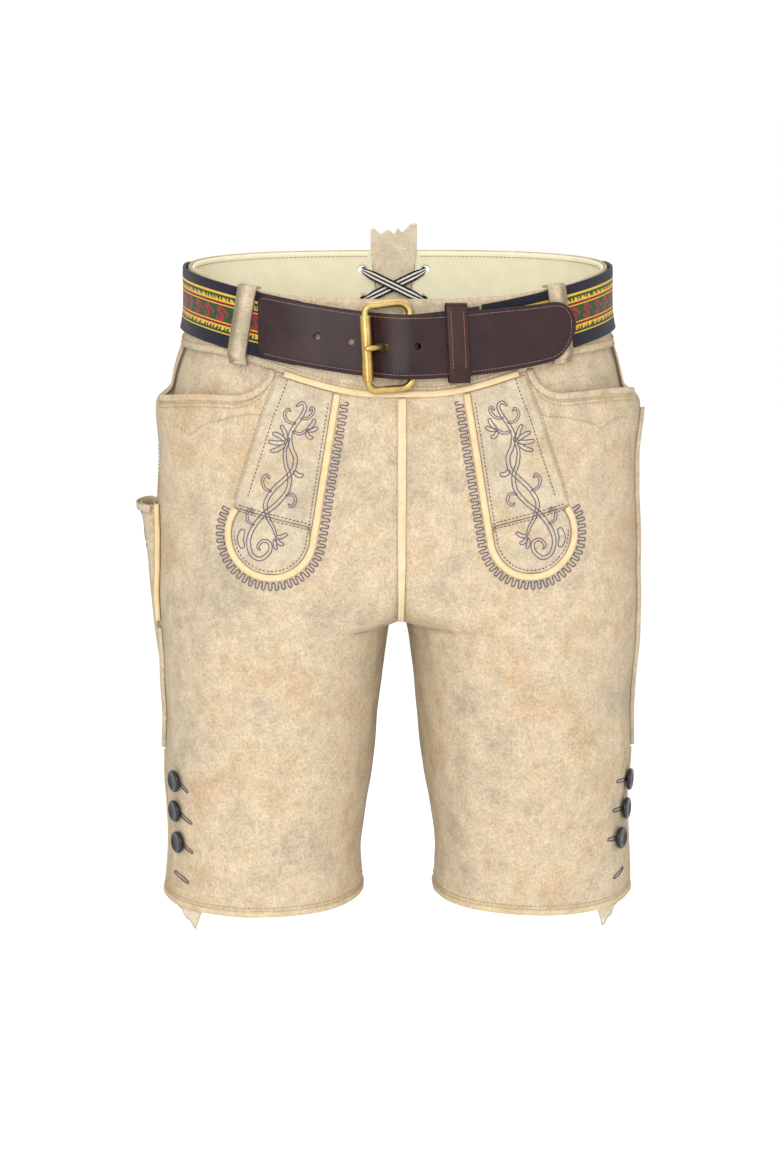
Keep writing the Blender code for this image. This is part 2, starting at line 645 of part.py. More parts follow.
def pocket_binding(name, side):
    """Turned edge of the pocket mouth, down from the waistband and out to the side."""
    first, last = mouth_start(side), side_seam(-104.0) - 0.012
    stations = [(first, band_bottom(first) - 2 * SEAM_GAP)]
    for share in np.linspace(0.06, 1.0, 20):
        phi = blend(first, last, share ** 1.7)
        stations.append((phi, mouth_height(side, phi)))
    shift = 0.5 - BINDING_OVER / BINDING_WIDTH
    profile = [(side * (offset + shift), rise) for offset, rise in FLAT]
    return seam_bar(name, "suede", side, stations, profile, BINDING_WIDTH, BINDING_THICK, BINDING_LIFT)


# ---- trims ------------------------------------------------------------------

def piping_x(z):
    """Straight inner run of the trim's piping."""
    join_x = TIP_X + TIP_RADIUS * math.cos(TIP_JOIN)
    join_z = TIP_Z + TIP_RADIUS * math.sin(TIP_JOIN)
    return blend(TRIM_TOP_X, join_x, (z - TRIM_TOP_Z) / (join_z - TRIM_TOP_Z))


def front_trim(name, side):
    margin = PIPING_WIDTH / 2 + SEAM_GAP

    def point(u, v):
        z = blend(-76.0, -183.0, v)
        for _ in range(3):
            tuck = TRIM_SEAM_TUCK * (1 - ease(-z, 84.0, 108.0))
            seam = TRIM_SEAM_X + (TRIM_SEAM_Z - z) * TRIM_SEAM_SLOPE - tuck
            x = blend(piping_x(z) + margin, seam, u)
            top = band_bottom(angle_at(x, -80.0, 1)) - TRIM_TOP_GAP
            z = blend(top, CROSS_Z - (CROSS_X - x) * CROSS_SLOPE, v)
        return place(side, angle_at(x, z, 1), z, TRIM_LIFT + TRIM_THICK)

    return wall(name, "trim", 6, 10, point, TRIM_THICK, side == RIGHT)


def front_trim_tip(name, side):
    radius = TIP_RADIUS - PIPING_WIDTH / 2 - SEAM_GAP

    def point(u, v):
        outer = math.radians(blend(TIP_TOP_OUTER, TIP_LOW_OUTER, v))
        inner = math.radians(blend(TIP_TOP_INNER, TIP_LOW_INNER, v))
        x = TIP_X + radius * blend(math.cos(inner), math.cos(outer), u)
        z = TIP_Z + radius * blend(math.sin(inner), math.sin(outer), u)
        return place(side, angle_at(x, z, 1), z, TRIM_LIFT + TRIM_THICK)

    return wall(name, "trim", 6, 9, point, TRIM_THICK, side == RIGHT)


def trim_piping(name, side):
    spots = [(piping_x(z), z) for z in np.linspace(TRIM_TOP_Z, TIP_Z - 4.0, 9)[:-1]]
    for angle in np.linspace(TIP_JOIN, TIP_END, 23):
        spots.append((TIP_X + TIP_RADIUS * math.cos(angle), TIP_Z + TIP_RADIUS * math.sin(angle)))
    stations = [(angle_at(x, z, 1), z) for x, z in spots]
    return seam_bar(name, "piping", side, stations, BEAD, PIPING_WIDTH, PIPING_HEIGHT, PIPING_LIFT)


def waistband_piping(name):
    """Cream strip over the seam between the waistband and the front panels."""
    route, normals = [], []
    for x in np.linspace(-BAND_PIPING_X, BAND_PIPING_X, 27):
        phi = angle_at(x, -80.0, 1)
        z = band_bottom(phi)
        phi = angle_at(x, z, 1)
        route.append(place(LEFT, phi, z))
        normals.append(outward(phi, z))
    return bar_along(name, "piping", route, normals, BEAD, BAND_PIPING_WIDTH, BAND_PIPING_HEIGHT,
                     BAND_PIPING_LIFT)


def centre_strip(name):
    def point(u, v):
        z = blend(BAND_FRONT - TRIM_TOP_GAP, STRIP_END, v)
        lift = STRIP_LIFT + STRIP_THICK + STRIP_CLEAR * ease(-z, CLEAR_START, CLEAR_END)
        return centre_place(blend(-STRIP_HALF, STRIP_HALF, u), z, lift, 1)

    return wall(name, "piping", 4, 12, point, STRIP_THICK)


def side_welt(name, side):
    """Thick outward seam allowance along the side, down to the vent."""
    heights = np.linspace(WELT_TOPS[side], WELT_END, 20)
    stations = [(side_seam(z), z) for z in heights]
    return seam_bar(name, "suede", side, stations, BEAD, WELT_WIDTH, WELT_HEIGHT, WELT_LIFT)


# ---- leg ends ---------------------------------------------------------------

def hem_binding(name, side):
    """Bound edge round the leg, open at the vent."""
    def point(u, v):
        z = blend(HEM - SEAM_GAP, HEM - SEAM_GAP - HEM_DEPTH, v)
        seam = side_seam(z)
        phi = blend(seam + HEM_OPENING, seam + 2 * math.pi - HEM_OPENING, u)
        return place(side, phi, z, HEM_LIFT)

    return wall(name, "suede", 32, 1, point, HEM_THICK, side == RIGHT)


def lap_end(phi, column):
    """Lower edge of the button stand: a pinked tab that comes to a point near its inner side."""
    depth = (phi - TAB_INNER) / (TAB_POINT - TAB_INNER)
    if phi > TAB_POINT:
        depth = 1 - (phi - TAB_POINT) / (TAB_OUTER - TAB_POINT)
    if depth < 0:
        return HEM + 1.5
    return blend(HEM - HEM_DEPTH, TAB_END, depth) + TAB_TOOTH * (column % 2)


def underlap(name, side):
    """Button stand behind the vent; its lower end is a pinked tab that shows below the hem."""
    def point(u, v):
        phi = blend(LAP_INNER, side_seam(LAP_LEVEL) + LAP_TUCK, u)
        return place(side, phi, blend(LAP_TOP, lap_end(phi, round(u * LAP_COLUMNS)), v), LAP_LIFT)

    return wall(name, "suede", LAP_COLUMNS, 5, point, LAP_THICK, side == RIGHT)


def button(name, side, lead, z):
    rim = BUTTON_RADIUS
    profile = ((0.0, BUTTON_HEIGHT - 0.7), (rim * 0.55, BUTTON_HEIGHT), (rim * 0.86, BUTTON_HEIGHT - 0.5),
               (rim, BUTTON_HEIGHT * 0.55), (rim * 0.9, 0.5), (rim * 0.6, 0.0), (0.0, 0.0))
    thing = turned(name, "horn", profile, 14)
    phi = math.pi - lead
    normal = Vector(outward(phi, z) * (side, 1, 1))
    thing.location = Vector(place(side, phi, z, BUTTON_LIFT)) * MM
    thing.rotation_euler = normal.to_track_quat("Z", "Y").to_euler()
    return thing


# ---- knife pocket -----------------------------------------------------------

def sheath_point(turn, z, grow=0.0):
    """Point of the pouch's outer side at a turn of 0..1 round it; half of it lies on the panel."""
    out, width, behind = (curve(z) for curve in sheath_curves)
    angle = 2 * math.pi * turn
    across = math.cos(angle)
    if math.sin(angle) < 0:
        across = math.copysign(abs(across) ** SHEATH_FLAT, across)
    rise = (out + grow) * max(0.0, math.sin(angle)) ** SHEATH_SQUARE
    phi = math.pi + behind - (width / 2 + grow) * across / ring(z).back
    return place(RIGHT, phi, z, SHEATH_LIFT + rise)


def knife_pocket(name):
    mouth, end = SHEATH[0][0], SHEATH[-1][0]
    bm = bmesh.new()
    bmesh.ops.create_grid(bm, x_segments=SHEATH_RING, y_segments=SHEATH_LEVELS, size=0.5)
    for vert in bm.verts:
        turn = (vert.co.x + 0.5) % 1.0
        z = blend(mouth, end, 0.5 - vert.co.y)
        vert.co = Vector(sheath_point(turn, z)) * MM
    bmesh.ops.remove_doubles(bm, verts=bm.verts, dist=0.00001)
    lowest = min(vert.co.z for vert in bm.verts)
    rim = [edge for edge in bm.edges if edge.is_boundary and edge.verts[0].co.z < lowest + 0.004]
    bmesh.ops.contextual_create(bm, geom=rim)
    bmesh.ops.recalc_face_normals(bm, faces=bm.faces)
    mesh = bpy.data.meshes.new(name)
    bm.to_mesh(mesh)
    bm.free()
    thing = add_object(name, mesh, "suede")
    shell = thing.modifiers.new("thickness", "SOLIDIFY")
    shell.thickness = SHEATH_WALL * MM
    shell.offset = -1.0
    return thing


def knife_pocket_cuff(name):
    top = SHEATH[0][0]

    def point(u, v):
        turn = blend(CUFF_START, 0.5 - CUFF_START, u)
        return sheath_point(turn, top + CUFF_RISE - CUFF_DEPTH * v, SEAM_GAP + CUFF_THICK)

    return wall(name, "suede", 10, 1, point, CUFF_THICK)


def knife_pocket_piping(name):
    heights = np.linspace(SHEATH_PIPING_TOP, SHEATH_PIPING_END, 9)
    stations = [(side_seam(z), z) for z in heights]
    return seam_bar(name, "piping", RIGHT, stations, BEAD, SHEATH_PIPING_WIDTH, SHEATH_PIPING_HEIGHT,
                    SHEATH_PIPING_LIFT)


# ---- notch, gusset and lace -------------------------------------------------

def back_gusset(name):
    tooth_at = lambda share: float(np.interp(share, *zip(*GUSSET_TEETH)))

    def point(u, v):
        top = GUSSET_TOP + tooth_at(u)
        z = blend(top, GUSSET_END, v ** 1.15)
        half = notch_half(min(z, TOP_RISE)) - GUSSET_MARGIN
        return centre_place(blend(half, -half, u), z, 0.0, -1)

    return wall(name, "suede", 22, 5, point, GUSSET_THICK)


def eyelet_drill(name, side, x, z):
    middle = centre_place(side * x, z, -1.0, -1)
    return drill(name, middle, outward(angle_at(x, z, -1), z) * (side, 1, 1), EYELET_RADIUS, EYELET_DEPTH)


def lace_ribbon(name, stops, width_at):
    """Flat lace along stops of x, z and lift on the back."""
    route = [centre_place(x, z, lift, -1) for x, z, lift in stops]
    frames = []
    for j, middle in enumerate(route):
        ahead = route[min(j + 1, len(route) - 1)] - route[max(j - 1, 0)]
        ahead /= np.linalg.norm(ahead)
        broad = np.cross(ahead, (0.0, 1.0, 0.0))
        broad /= np.linalg.norm(broad)
        frames.append((middle, broad, np.cross(broad, ahead)))
    corners = ((-0.5, -0.5), (0.5, -0.5), (0.5, 0.5), (-0.5, 0.5))

    def corner(k, j):
        middle, broad, thin = frames[j]
        across, through = corners[k]
        return middle + broad * across * width_at(j, len(route)) + thin * through * LACE_THICK

    return tube(name, "lace", 4, len(route) - 1, corner)


def lace_width(j, count):
    from_end = min(j, count - 1 - j)
    return (LACE_NECK, LACE_NECK, LACE_NECK + 0.8, LACE_WIDTH)[min(from_end, 3)]


def lace_cross(name, side, rest):
    """Stretch inside the waist from an upper eyelet to the lower one across."""
    (top_x, top_z), (low_x, low_z) = EYELETS
    fall = (low_z - top_z) / (top_x + low_x)
    near = [(step, rest if lift is None else lift) for step, lift in LACE_INSIDE]
    stops = [(side * (top_x - step), top_z + fall * step, lift) for step, lift in near]
    for share in (0.35, 0.5, 0.65):
        run = (top_x + low_x) * share
        stops.append((side * (top_x - run), top_z + fall * run, rest))
    for step, lift in reversed(near):
        stops.append((-side * (low_x - step), low_z - fall * step, lift))
    return lace_ribbon(name, stops, lace_width)


def lace_bar(name, x, z):
    """Stretch outside, straight from eyelet to eyelet."""
    stops = [(x - step, z, lift) for step, lift in LACE_OUTSIDE]
    stops.append((0.0, z, LACE_BAR))
    stops.extend((-(x - step), z, lift) for step, lift in reversed(LACE_OUTSIDE))
    return lace_ribbon(name, stops, lace_width)


# ---- belt -------------------------------------------------------------------

def belt_middle(phi, power):
    share = width_share(phi)
    if math.sin(phi) > 0:
        return BELT_SIDE - BELT_SAG * (1 - share ** power)
    return blend(BELT_BACK, BELT_SIDE, share ** 2)


def belt_angle(x, z=BUCKLE_Z):
    """Angle on the whole waist ring of a signed x in front."""
    return angle_at(x, z, 1)


def woven_band(name):
    """Woven webbing from under the strap, round the back, to the buckle's leather."""
    first, last = belt_angle(WEB_END, -40.0), belt_angle(WEB_START, -40.0) + 2 * math.pi

    def point(u, v):
        phi = blend(first, last, u)
        z = belt_middle(phi, BAND_POWER) + BELT_WIDTH * (0.5 - v)
        return place(LEFT, phi, z, BELT_LIFT + WEB_THICK, 0.0)

    return wall(name, "web", 54, 2, point, WEB_THICK)


def strap_half(x):
    """Half width of the strap: rounded corners at its sewn end and a round tip."""
    half = BELT_WIDTH / 2 - STRAP_NARROW * ease(x, STRAP_FREE, STRAP_TIP)
    start = min(max((x - STRAP_START) / STRAP_CORNER, 0.0), 1.0)
    tip = min(max((STRAP_TIP - x) / STRAP_ROUND, 0.0), 1.0)
    corner = STRAP_CORNER * (1 - math.sqrt(1 - (1 - start) ** 2))
    return (half - corner) * math.sqrt(max(1 - (1 - tip) ** 2.4, 0.02))


def strap_point(x, share, lift=0.0):
    """Point of the strap's outer face; share runs from 0 at its top edge to 1."""
    power = STRAP_POWER if x > 0 else BAND_POWER
    phi = belt_angle(x, -45.0)
    middle = belt_middle(phi, power) - STRAP_FALL * ease(x, STRAP_FREE, STRAP_TIP)
    z = middle + 2 * strap_half(x) * (0.5 - share)
    return place(LEFT, belt_angle(x, z), z, strap_lift(x) + STRAP_THICK + lift, 0.0)


def belt_strap(name):
    """Leather strap with its holes: sewn on the band, through the buckle and over the keeper's side."""
    places = [STRAP_START, STRAP_START + 2.0]
    places += list(np.linspace(STRAP_START + STRAP_CORNER, STRAP_TIP - STRAP_ROUND, 28))
    places += [STRAP_TIP - STRAP_ROUND * share for share in (0.7, 0.425, 0.2, 0.06, 0.0)]
    columns = len(places) - 1

    def point(u, v):
        return strap_point(places[round(u * columns)], v)

    strap = wall(name, "belt_leather", columns, 4, point, STRAP_THICK)
    for k in range(HOLES):
        x = FIRST_HOLE + k * HOLE_PITCH
        inner, outer = strap_point(x, 0.5, -8.0), strap_point(x, 0.5, 4.0)
        cutter = drill(f"strap_hole_{k + 1}", (inner + outer) / 2, outer - inner, HOLE_RADIUS, 13.0)
        if k == PRONG_HOLE:
            cutter.location += Vector(PRONG_SHIFT) * MM
            cutter.scale = PRONG_SLOT
        cut(strap, cutter)
    return strap


def waist_spot(x, z, lift):
    return place(LEFT, belt_angle(x, z), z, lift, 0.0)


def belt_chape(name):
    """Leather folded round the buckle's bar, both layers running back over the band's end."""
    bend = BUCKLE_ROD + CHAPE_CLEAR
    run = np.linspace(CHAPE_END, CHAPE_STRAIGHT, 5)
    path = [(x, CHAPE_BACK) for x in run]
    path += [(CHAPE_NECK, CHAPE_BACK - 0.1), (BAR_X + 3.0, BAR_LIFT - bend - 0.1)]
    for angle in np.linspace(math.radians(-90), math.radians(-270), 7):
        path.append((BAR_X + bend * math.cos(angle), BAR_LIFT + bend * math.sin(angle)))
    path += [(BAR_X + 4.0, BAR_LIFT + bend - 0.5), (CHAPE_NECK + 1.0, 7.2)]
    path += [(x, CHAPE_FRONT) for x in run[::-1]]
    columns = len(path) - 1

    def point(u, v):
        x, lift = path[round(u * columns)]
        z = belt_middle(belt_angle(max(x, 0.0), -45.0), BAND_POWER) + (BELT_WIDTH - CHAPE_MARGIN) * (0.5 - v)
        lean = BUCKLE_LEAN * (z - BUCKLE_Z) * (1 - ease(x, CHAPE_NECK, CHAPE_END))
        return waist_spot(x + lean, z, lift)

    leather = wall(name, "belt_leather", columns, 3, point, CHAPE_THICK, mirrored=True)
    middle = waist_spot(BAR_X - 2.0, BUCKLE_Z, BAR_LIFT)
    bpy.ops.mesh.primitive_cube_add(size=MM)
    slot = bpy.context.object
    slot.name = "prong_slot"
    slot.location = Vector(middle) * MM
    slot.scale = CHAPE_SLOT
    cut(leather, slot)
    return leather


def buckle_frame(name):
    """Closed frame: the roller's bar in front, the prong's bar behind the strap."""
    points = []
    # x of the bar, sign of the side inward from it, 1 above and -1 below, start angle, radius
    corners = ((BUCKLE_X, 1, 1, 180, ROLLER_CORNER), (BAR_X, -1, 1, 90, BAR_CORNER),
               (BAR_X, -1, -1, 0, BAR_CORNER), (BUCKLE_X, 1, -1, -90, ROLLER_CORNER))
    for x, inward, top, start, radius in corners:
        middle_x = x + inward * radius
        middle_z = BUCKLE_Z + top * (BUCKLE_HALF - radius)
        for step in range(5):
            angle = math.radians(start - 22.5 * step)
            spot_x = middle_x + radius * math.cos(angle)
            spot_z = middle_z + radius * math.sin(angle)
            lift = blend(BUCKLE_LIFT, BAR_LIFT, (spot_x - BUCKLE_X) / (BAR_X - BUCKLE_X))
            points.append(buckle_spot(spot_x, spot_z, lift))
    return rod(name, "brass", points, BUCKLE_ROD, cyclic=True)


def buckle_spot(x, z, lift):
    """Point of the stiff buckle, which stands straight on the surface at its own middle."""
    base = waist_spot(0.0, BUCKLE_Z, 0.0)
    normal = outward(math.pi / 2, BUCKLE_Z)
    up = np.cross(normal, (1.0, 0.0, 0.0))
    across = x + BUCKLE_LEAN * (z - BUCKLE_Z)
    rise = z - BUCKLE_Z + BUCKLE_TILT * (x - (BUCKLE_X + BAR_X) / 2)
    return base + np.array((across, 0.0, 0.0)) + up * rise + normal * lift


def buckle_roller(name):
    profile = ((ROLLER_RADIUS, ROLLER_HALF), (ROLLER_RADIUS, -ROLLER_HALF), (ROLLER_BORE, -ROLLER_HALF),
               (ROLLER_BORE, ROLLER_HALF))
    thing = turned(name, "brass", profile, 20)
    axis = Vector(buckle_spot(0, BUCKLE_Z + 1, 0) - buckle_spot(0, BUCKLE_Z, 0))
    thing.location = Vector(buckle_spot(BUCKLE_X, BUCKLE_Z, BUCKLE_LIFT)) * MM
    thing.rotation_euler = axis.to_track_quat("Z", "Y").to_euler()
    return thing


def buckle_prong(name):
    """Prong: an eye round the bar, then under the strap, up through its hole and onto the roller."""
    points = []
    for angle in np.linspace(math.radians(150), math.radians(-160), 14):
        points.append((BAR_X + PRONG_EYE * math.cos(angle), BAR_LIFT + PRONG_EYE * math.sin(angle)))
    points += list(PRONG_ROUTE)
    radii = [PRONG_EYE_SHARE] * 14 + [0.75] + [1.0] * (len(PRONG_ROUTE) - 3) + [0.95, 0.6]
    spots = [buckle_spot(x, BUCKLE_Z, lift) for x, lift in points]
    return rod(name, "brass", spots, PRONG_ROD, radii=radii)


def belt_keeper(name):
    """Loop of leather round the band and the strap."""
    around = 32
    phi = belt_angle(KEEPER_X)
    middle_z = (belt_middle(phi, BAND_POWER) + belt_middle(phi, STRAP_POWER)) / 2
    bm = bmesh.new()
    bmesh.ops.create_grid(bm, x_segments=around, y_segments=2, size=0.5)
    for vert in bm.verts:
        angle = 2 * math.pi * (vert.co.x + 0.5)
        cosine, sine = math.cos(angle), math.sin(angle)
        scale = (abs(cosine) ** KEEPER_POWER + abs(sine) ** KEEPER_POWER) ** (-1 / KEEPER_POWER)
        z = middle_z + KEEPER_HALF * scale * cosine
        lift = blend(KEEPER_LOW, KEEPER_HIGH, 0.5 + 0.5 * scale * sine)
        x = KEEPER_X + KEEPER_WIDTH * vert.co.y + KEEPER_LEAN * (z - middle_z)
        vert.co = Vector(waist_spot(x, z, lift)) * MM
    bmesh.ops.remove_doubles(bm, verts=bm.verts, dist=0.00001)
    bmesh.ops.recalc_face_normals(bm, faces=bm.faces)
    mesh = bpy.data.meshes.new(name)
    bm.to_mesh(mesh)
    bm.free()
    thing = add_object(name, mesh, "belt_leather")
    shell = thing.modifiers.new("thickness", "SOLIDIFY")
    shell.thickness = KEEPER_THICK * MM
    shell.offset = 1.0
    return thing


def belt_loop(name, side, face, top_x, bottom_x):
    """Suede loop from the waistband's top, over the belt and back to the waistband."""
    phi = angle_at(top_x, -10.0, face)
    top = waist_top(phi)
    belt = belt_middle(phi, BAND_POWER)
    low = belt - BELT_WIDTH / 2
    stops = [(top + rise, lift) for rise, lift in LOOP_STARTS[face]]
    stops += [(belt + 8.0, LOOP_LIFT), (belt - 8.0, LOOP_LIFT)]
    stops += [(low - drop, lift) for drop, lift in LOOP_FINISH]
    route, normals = [], []
    for z, lift in stops:
        x = blend(top_x, bottom_x, (top - z) / (top - low))
        route.append(place(side, angle_at(x, z, face), z, lift, 0.0))
    run = route[-len(LOOP_FINISH)] - route[len(LOOP_STARTS[face])]
    broad = np.cross(run / np.linalg.norm(run), outward(phi, -30.0) * (side, 1, 1))
    for j in range(len(route)):
        ahead = route[min(j + 1, len(route) - 1)] - route[max(j - 1, 0)]
        normal = np.cross(broad, ahead)
        normals.append(normal / np.linalg.norm(normal))
    return bar_along(name, "suede", route, normals, FLAT, LOOP_WIDTH, LOOP_THICK, 0.0)


# ---- assembly ---------------------------------------------------------------

def build():
    for word, side in SIDES:
        front_panel(f"front_panel_{word}", side)
        back_panel(f"back_panel_{word}", side)
        band = waistband(f"waistband_{word}", side)
        facing = waist_facing(f"waist_facing_{word}", side)
        for row, (x, z) in zip(("upper", "lower"), EYELETS):
            hole = eyelet_drill(f"eyelet_{row}_{word}", side, x, z)
            cut(band, hole)
            cut(facing, hole)
        hip_piece(f"hip_piece_{word}", side)
        pocket_binding(f"pocket_binding_{word}", side)
        front_trim(f"front_trim_{word}", side)
        front_trim_tip(f"front_trim_tip_{word}", side)
        trim_piping(f"trim_piping_{word}", side)
        side_welt(f"side_welt_{word}", side)
        hem_binding(f"hem_binding_{word}", side)
        underlap(f"underlap_{word}", side)
        for number, (lead, z) in enumerate(BUTTONS[side], 1):
            button(f"button_{word}_{number}", side, lead, z)
    waistband_piping("waistband_piping")
    centre_strip("centre_strip")
    knife_pocket("knife_pocket")
    knife_pocket_cuff("knife_pocket_cuff")
    knife_pocket_piping("knife_pocket_piping")
    back_gusset("back_gusset")
    lace_cross("lace_cross_under", LEFT, LACE_UNDER)
    lace_cross("lace_cross_over", RIGHT, LACE_OVER)
    for row, (x, z) in zip(("upper", "lower"), EYELETS):
        lace_bar(f"lace_bar_{row}", x, z)
    woven_band("belt_woven_band")
    belt_strap("belt_strap")
    belt_chape("belt_chape")
    belt_keeper("belt_keeper")
    buckle_frame("buckle_frame")
    buckle_roller("buckle_roller")
    buckle_prong("buckle_prong")
    for name, side, face, top_x, bottom_x in BELT_LOOPS:
        belt_loop(name, side, face, top_x, bottom_x)


build()
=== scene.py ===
import math
from types import SimpleNamespace

import bmesh
import bpy
import numpy as np
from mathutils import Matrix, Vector


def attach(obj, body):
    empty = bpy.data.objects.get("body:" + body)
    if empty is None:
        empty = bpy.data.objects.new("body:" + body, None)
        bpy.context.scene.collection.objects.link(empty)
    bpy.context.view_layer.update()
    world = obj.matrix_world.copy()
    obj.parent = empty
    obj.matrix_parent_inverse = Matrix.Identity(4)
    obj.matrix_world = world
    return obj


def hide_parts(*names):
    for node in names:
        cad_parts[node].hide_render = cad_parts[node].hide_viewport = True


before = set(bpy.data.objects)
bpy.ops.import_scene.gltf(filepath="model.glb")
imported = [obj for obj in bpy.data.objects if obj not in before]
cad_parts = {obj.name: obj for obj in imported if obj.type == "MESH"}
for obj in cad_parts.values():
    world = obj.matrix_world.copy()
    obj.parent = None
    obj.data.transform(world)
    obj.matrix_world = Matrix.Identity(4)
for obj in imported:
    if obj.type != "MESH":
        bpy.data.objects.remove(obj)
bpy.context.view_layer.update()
print("frame loaded")

# camera, light and floor; the camera looks a little down, from a little to the wearer's right
look = {"away": 2.5, "down": 10.6, "aside": 1.5, "at": (-0.0052, 0.0, -0.258), "lens": 95.745, "film": 36}
studio = {
    "world": 1.06, "floor": -0.95, "floorSize": 60.0, "floorColour": "#FAFAF9",
    # place, size and power of each soft lamp; all of them face the middle of the breeches
    "lamps": {
        "keyLight": ((-0.6, -2.4, 0.7), 1.2, 27), "fillLight": ((1.7, -1.9, 0.5), 1.6, 6),
        "topLight": ((0.0, 0.3, 2.2), 1.6, 10), "backLight": ((0.6, 2.0, 0.8), 1.6, 12),
    },
}


def hexColour(code):
    parts = [int(code[k:k + 2], 16) / 255 for k in (1, 3, 5)]
    return [p / 12.92 if p <= 0.04045 else ((p + 0.055) / 1.055) ** 2.4 for p in parts] + [1.0]


def addObject(name, data):
    thing = bpy.data.objects.new(name, data)
    bpy.context.scene.collection.objects.link(thing)
    return thing


def toMesh(bm, name):
    mesh = bpy.data.meshes.new(name)
    bm.to_mesh(mesh)
    bm.free()
    return mesh


def placeCamera():
    down, aside = math.radians(look["down"]), math.radians(look["aside"])
    ahead = Vector((math.sin(aside) * math.cos(down), math.cos(aside) * math.cos(down), -math.sin(down)))
    camera = bpy.data.cameras.new("camera")
    camera.lens = look["lens"]
    camera.sensor_fit = "VERTICAL"
    camera.sensor_height = look["film"]
    thing = addObject("camera", camera)
    thing.location = Vector(look["at"]) - ahead * look["away"]
    thing.rotation_euler = ahead.to_track_quat("-Z", "Y").to_euler()
    bpy.context.scene.camera = thing


def placeLamps():
    for name, (spot, size, power) in studio["lamps"].items():
        lamp = bpy.data.lights.new(name, "AREA")
        lamp.size = size
        lamp.energy = power
        thing = addObject(name, lamp)
        thing.location = spot
        thing.rotation_euler = (Vector(look["at"]) - Vector(spot)).to_track_quat("-Z", "Y").to_euler()
    world = bpy.data.worlds.new("studio")
    world.use_nodes = True
    world.node_tree.nodes["Background"].inputs["Color"].default_value = (1, 1, 1, 1)
    world.node_tree.nodes["Background"].inputs["Strength"].default_value = studio["world"]
    bpy.context.scene.world = world
    bpy.context.scene.view_settings.view_transform = "Standard"


def placeFloor():
    bm = bmesh.new()
    bmesh.ops.create_grid(bm, x_segments=1, y_segments=1, size=studio["floorSize"] / 2)
    bmesh.ops.translate(bm, verts=bm.verts, vec=(0, 0, studio["floor"]))
    floor = addObject("floor", toMesh(bm, "floor"))
    paint = bpy.data.materials.new("floorPaint")
    paint.use_nodes = True
    shader = paint.node_tree.nodes["Principled BSDF"]
    shader.inputs["Base Color"].default_value = hexColour(studio["floorColour"])
    shader.inputs["Roughness"].default_value = 0.9
    floor.data.materials.append(paint)


placeCamera()
placeLamps()
placeFloor()
print("studio ready")


# finishes: every pattern is on Object coordinates in metres, or on the piece's own flat map

def addNode(tree, kind, settings=None, values=None, links=None, stops=None):
    node = tree.nodes.new(kind)
    for key, value in (settings or {}).items():
        setattr(node, key, value)
    for key, value in (values or {}).items():
        node.inputs[key].default_value = value
    for key, socket in (links or {}).items():
        tree.links.new(socket, node.inputs[key])
    for k, (spot, code) in enumerate(stops or ()):
        stop = node.color_ramp.elements[k] if k < 2 else node.color_ramp.elements.new(spot)
        stop.position = spot
        stop.color = hexColour(code) if isinstance(code, str) else (code, code, code, 1.0)
    return node


def newFinish(name, roughness, metallic=0.0, **sockets):
    finish = bpy.data.materials.new(name)
    finish.use_nodes = True
    tree = finish.node_tree
    shader = tree.nodes["Principled BSDF"]
    shader.inputs["Roughness"].default_value = roughness
    shader.inputs["Metallic"].default_value = metallic
    for key, value in sockets.items():
        shader.inputs[key.replace("_", " ")].default_value = value
    place = addNode(tree, "ShaderNodeTexCoord").outputs["Object"]
    return finish, tree, shader, place


def multiply(tree, first, second):
    mix = addNode(tree, "ShaderNodeMix", {"data_type": "RGBA", "blend_type": "MULTIPLY"}, {0: 1.0},
                  {6: first, 7: second})
    return mix.outputs[2]


def suedeFinish(name, light, warm, grey, nap):
    # goat suede, split and buffed: quite matt, beige with tan and greyish patches and a short fine nap
    finish, tree, shader, place = newFinish(name, 0.96, Specular_IOR_Level=0.1, Sheen_Weight=0.12,
                                            Sheen_Roughness=0.5)
    shader.inputs["Sheen Tint"].default_value = hexColour("#EFE3CB")
    clouds = addNode(tree, "ShaderNodeTexNoise", values={"Scale": 16.0, "Detail": 6.0, "Roughness": 0.7,
                     "Distortion": 0.3}, links={"Vector": place})        # clouds about 60 mm across
    tone = addNode(tree, "ShaderNodeValToRGB", links={"Fac": clouds.outputs["Fac"]},
                   stops=((0.36, grey), (0.64, warm), (0.5, light)))
    patch = addNode(tree, "ShaderNodeTexNoise", values={"Scale": 75.0, "Detail": 8.0, "Roughness": 0.74},
                    links={"Vector": place})                             # patches about 13 mm across
    patchTone = addNode(tree, "ShaderNodeValToRGB", links={"Fac": patch.outputs["Fac"]},
                        stops=((0.34, 0.80), (0.66, 1.06)))
    speck = addNode(tree, "ShaderNodeTexNoise", values={"Scale": 520.0, "Detail": 4.0, "Roughness": 0.75},
                    links={"Vector": place})                             # nap 2 mm across, drawn coarse
    speckTone = addNode(tree, "ShaderNodeValToRGB", links={"Fac": speck.outputs["Fac"]},
                        stops=((0.32, 1.0 - nap), (0.68, 1.0 + nap * 0.5)))
    patched = multiply(tree, tone.outputs["Color"], patchTone.outputs["Color"])
    edgeOn = addNode(tree, "ShaderNodeLayerWeight", values={"Blend": 0.35})
    napAndPaintedEdgeShade = addNode(tree, "ShaderNodeValToRGB", links={"Fac": edgeOn.outputs["Facing"]},
                       stops=((0.12, 1.0), (0.85, 0.60), (0.5, 0.90)))   # darker where the suede is seen edge-on: partly the nap, partly painted shade towards the silhouette
    specked = multiply(tree, patched, speckTone.outputs["Color"])
    tree.links.new(multiply(tree, specked, napAndPaintedEdgeShade.outputs["Color"]), shader.inputs["Base Color"])
    fine = addNode(tree, "ShaderNodeBump", values={"Strength": 0.45, "Distance": 0.0006},
                   links={"Height": speck.outputs["Fac"]})
    broad = addNode(tree, "ShaderNodeBump", values={"Strength": 0.4, "Distance": 0.0018},
                    links={"Height": patch.outputs["Fac"], "Normal": fine.outputs["Normal"]})
    tree.links.new(broad.outputs["Normal"], shader.inputs["Normal"])
    return finish


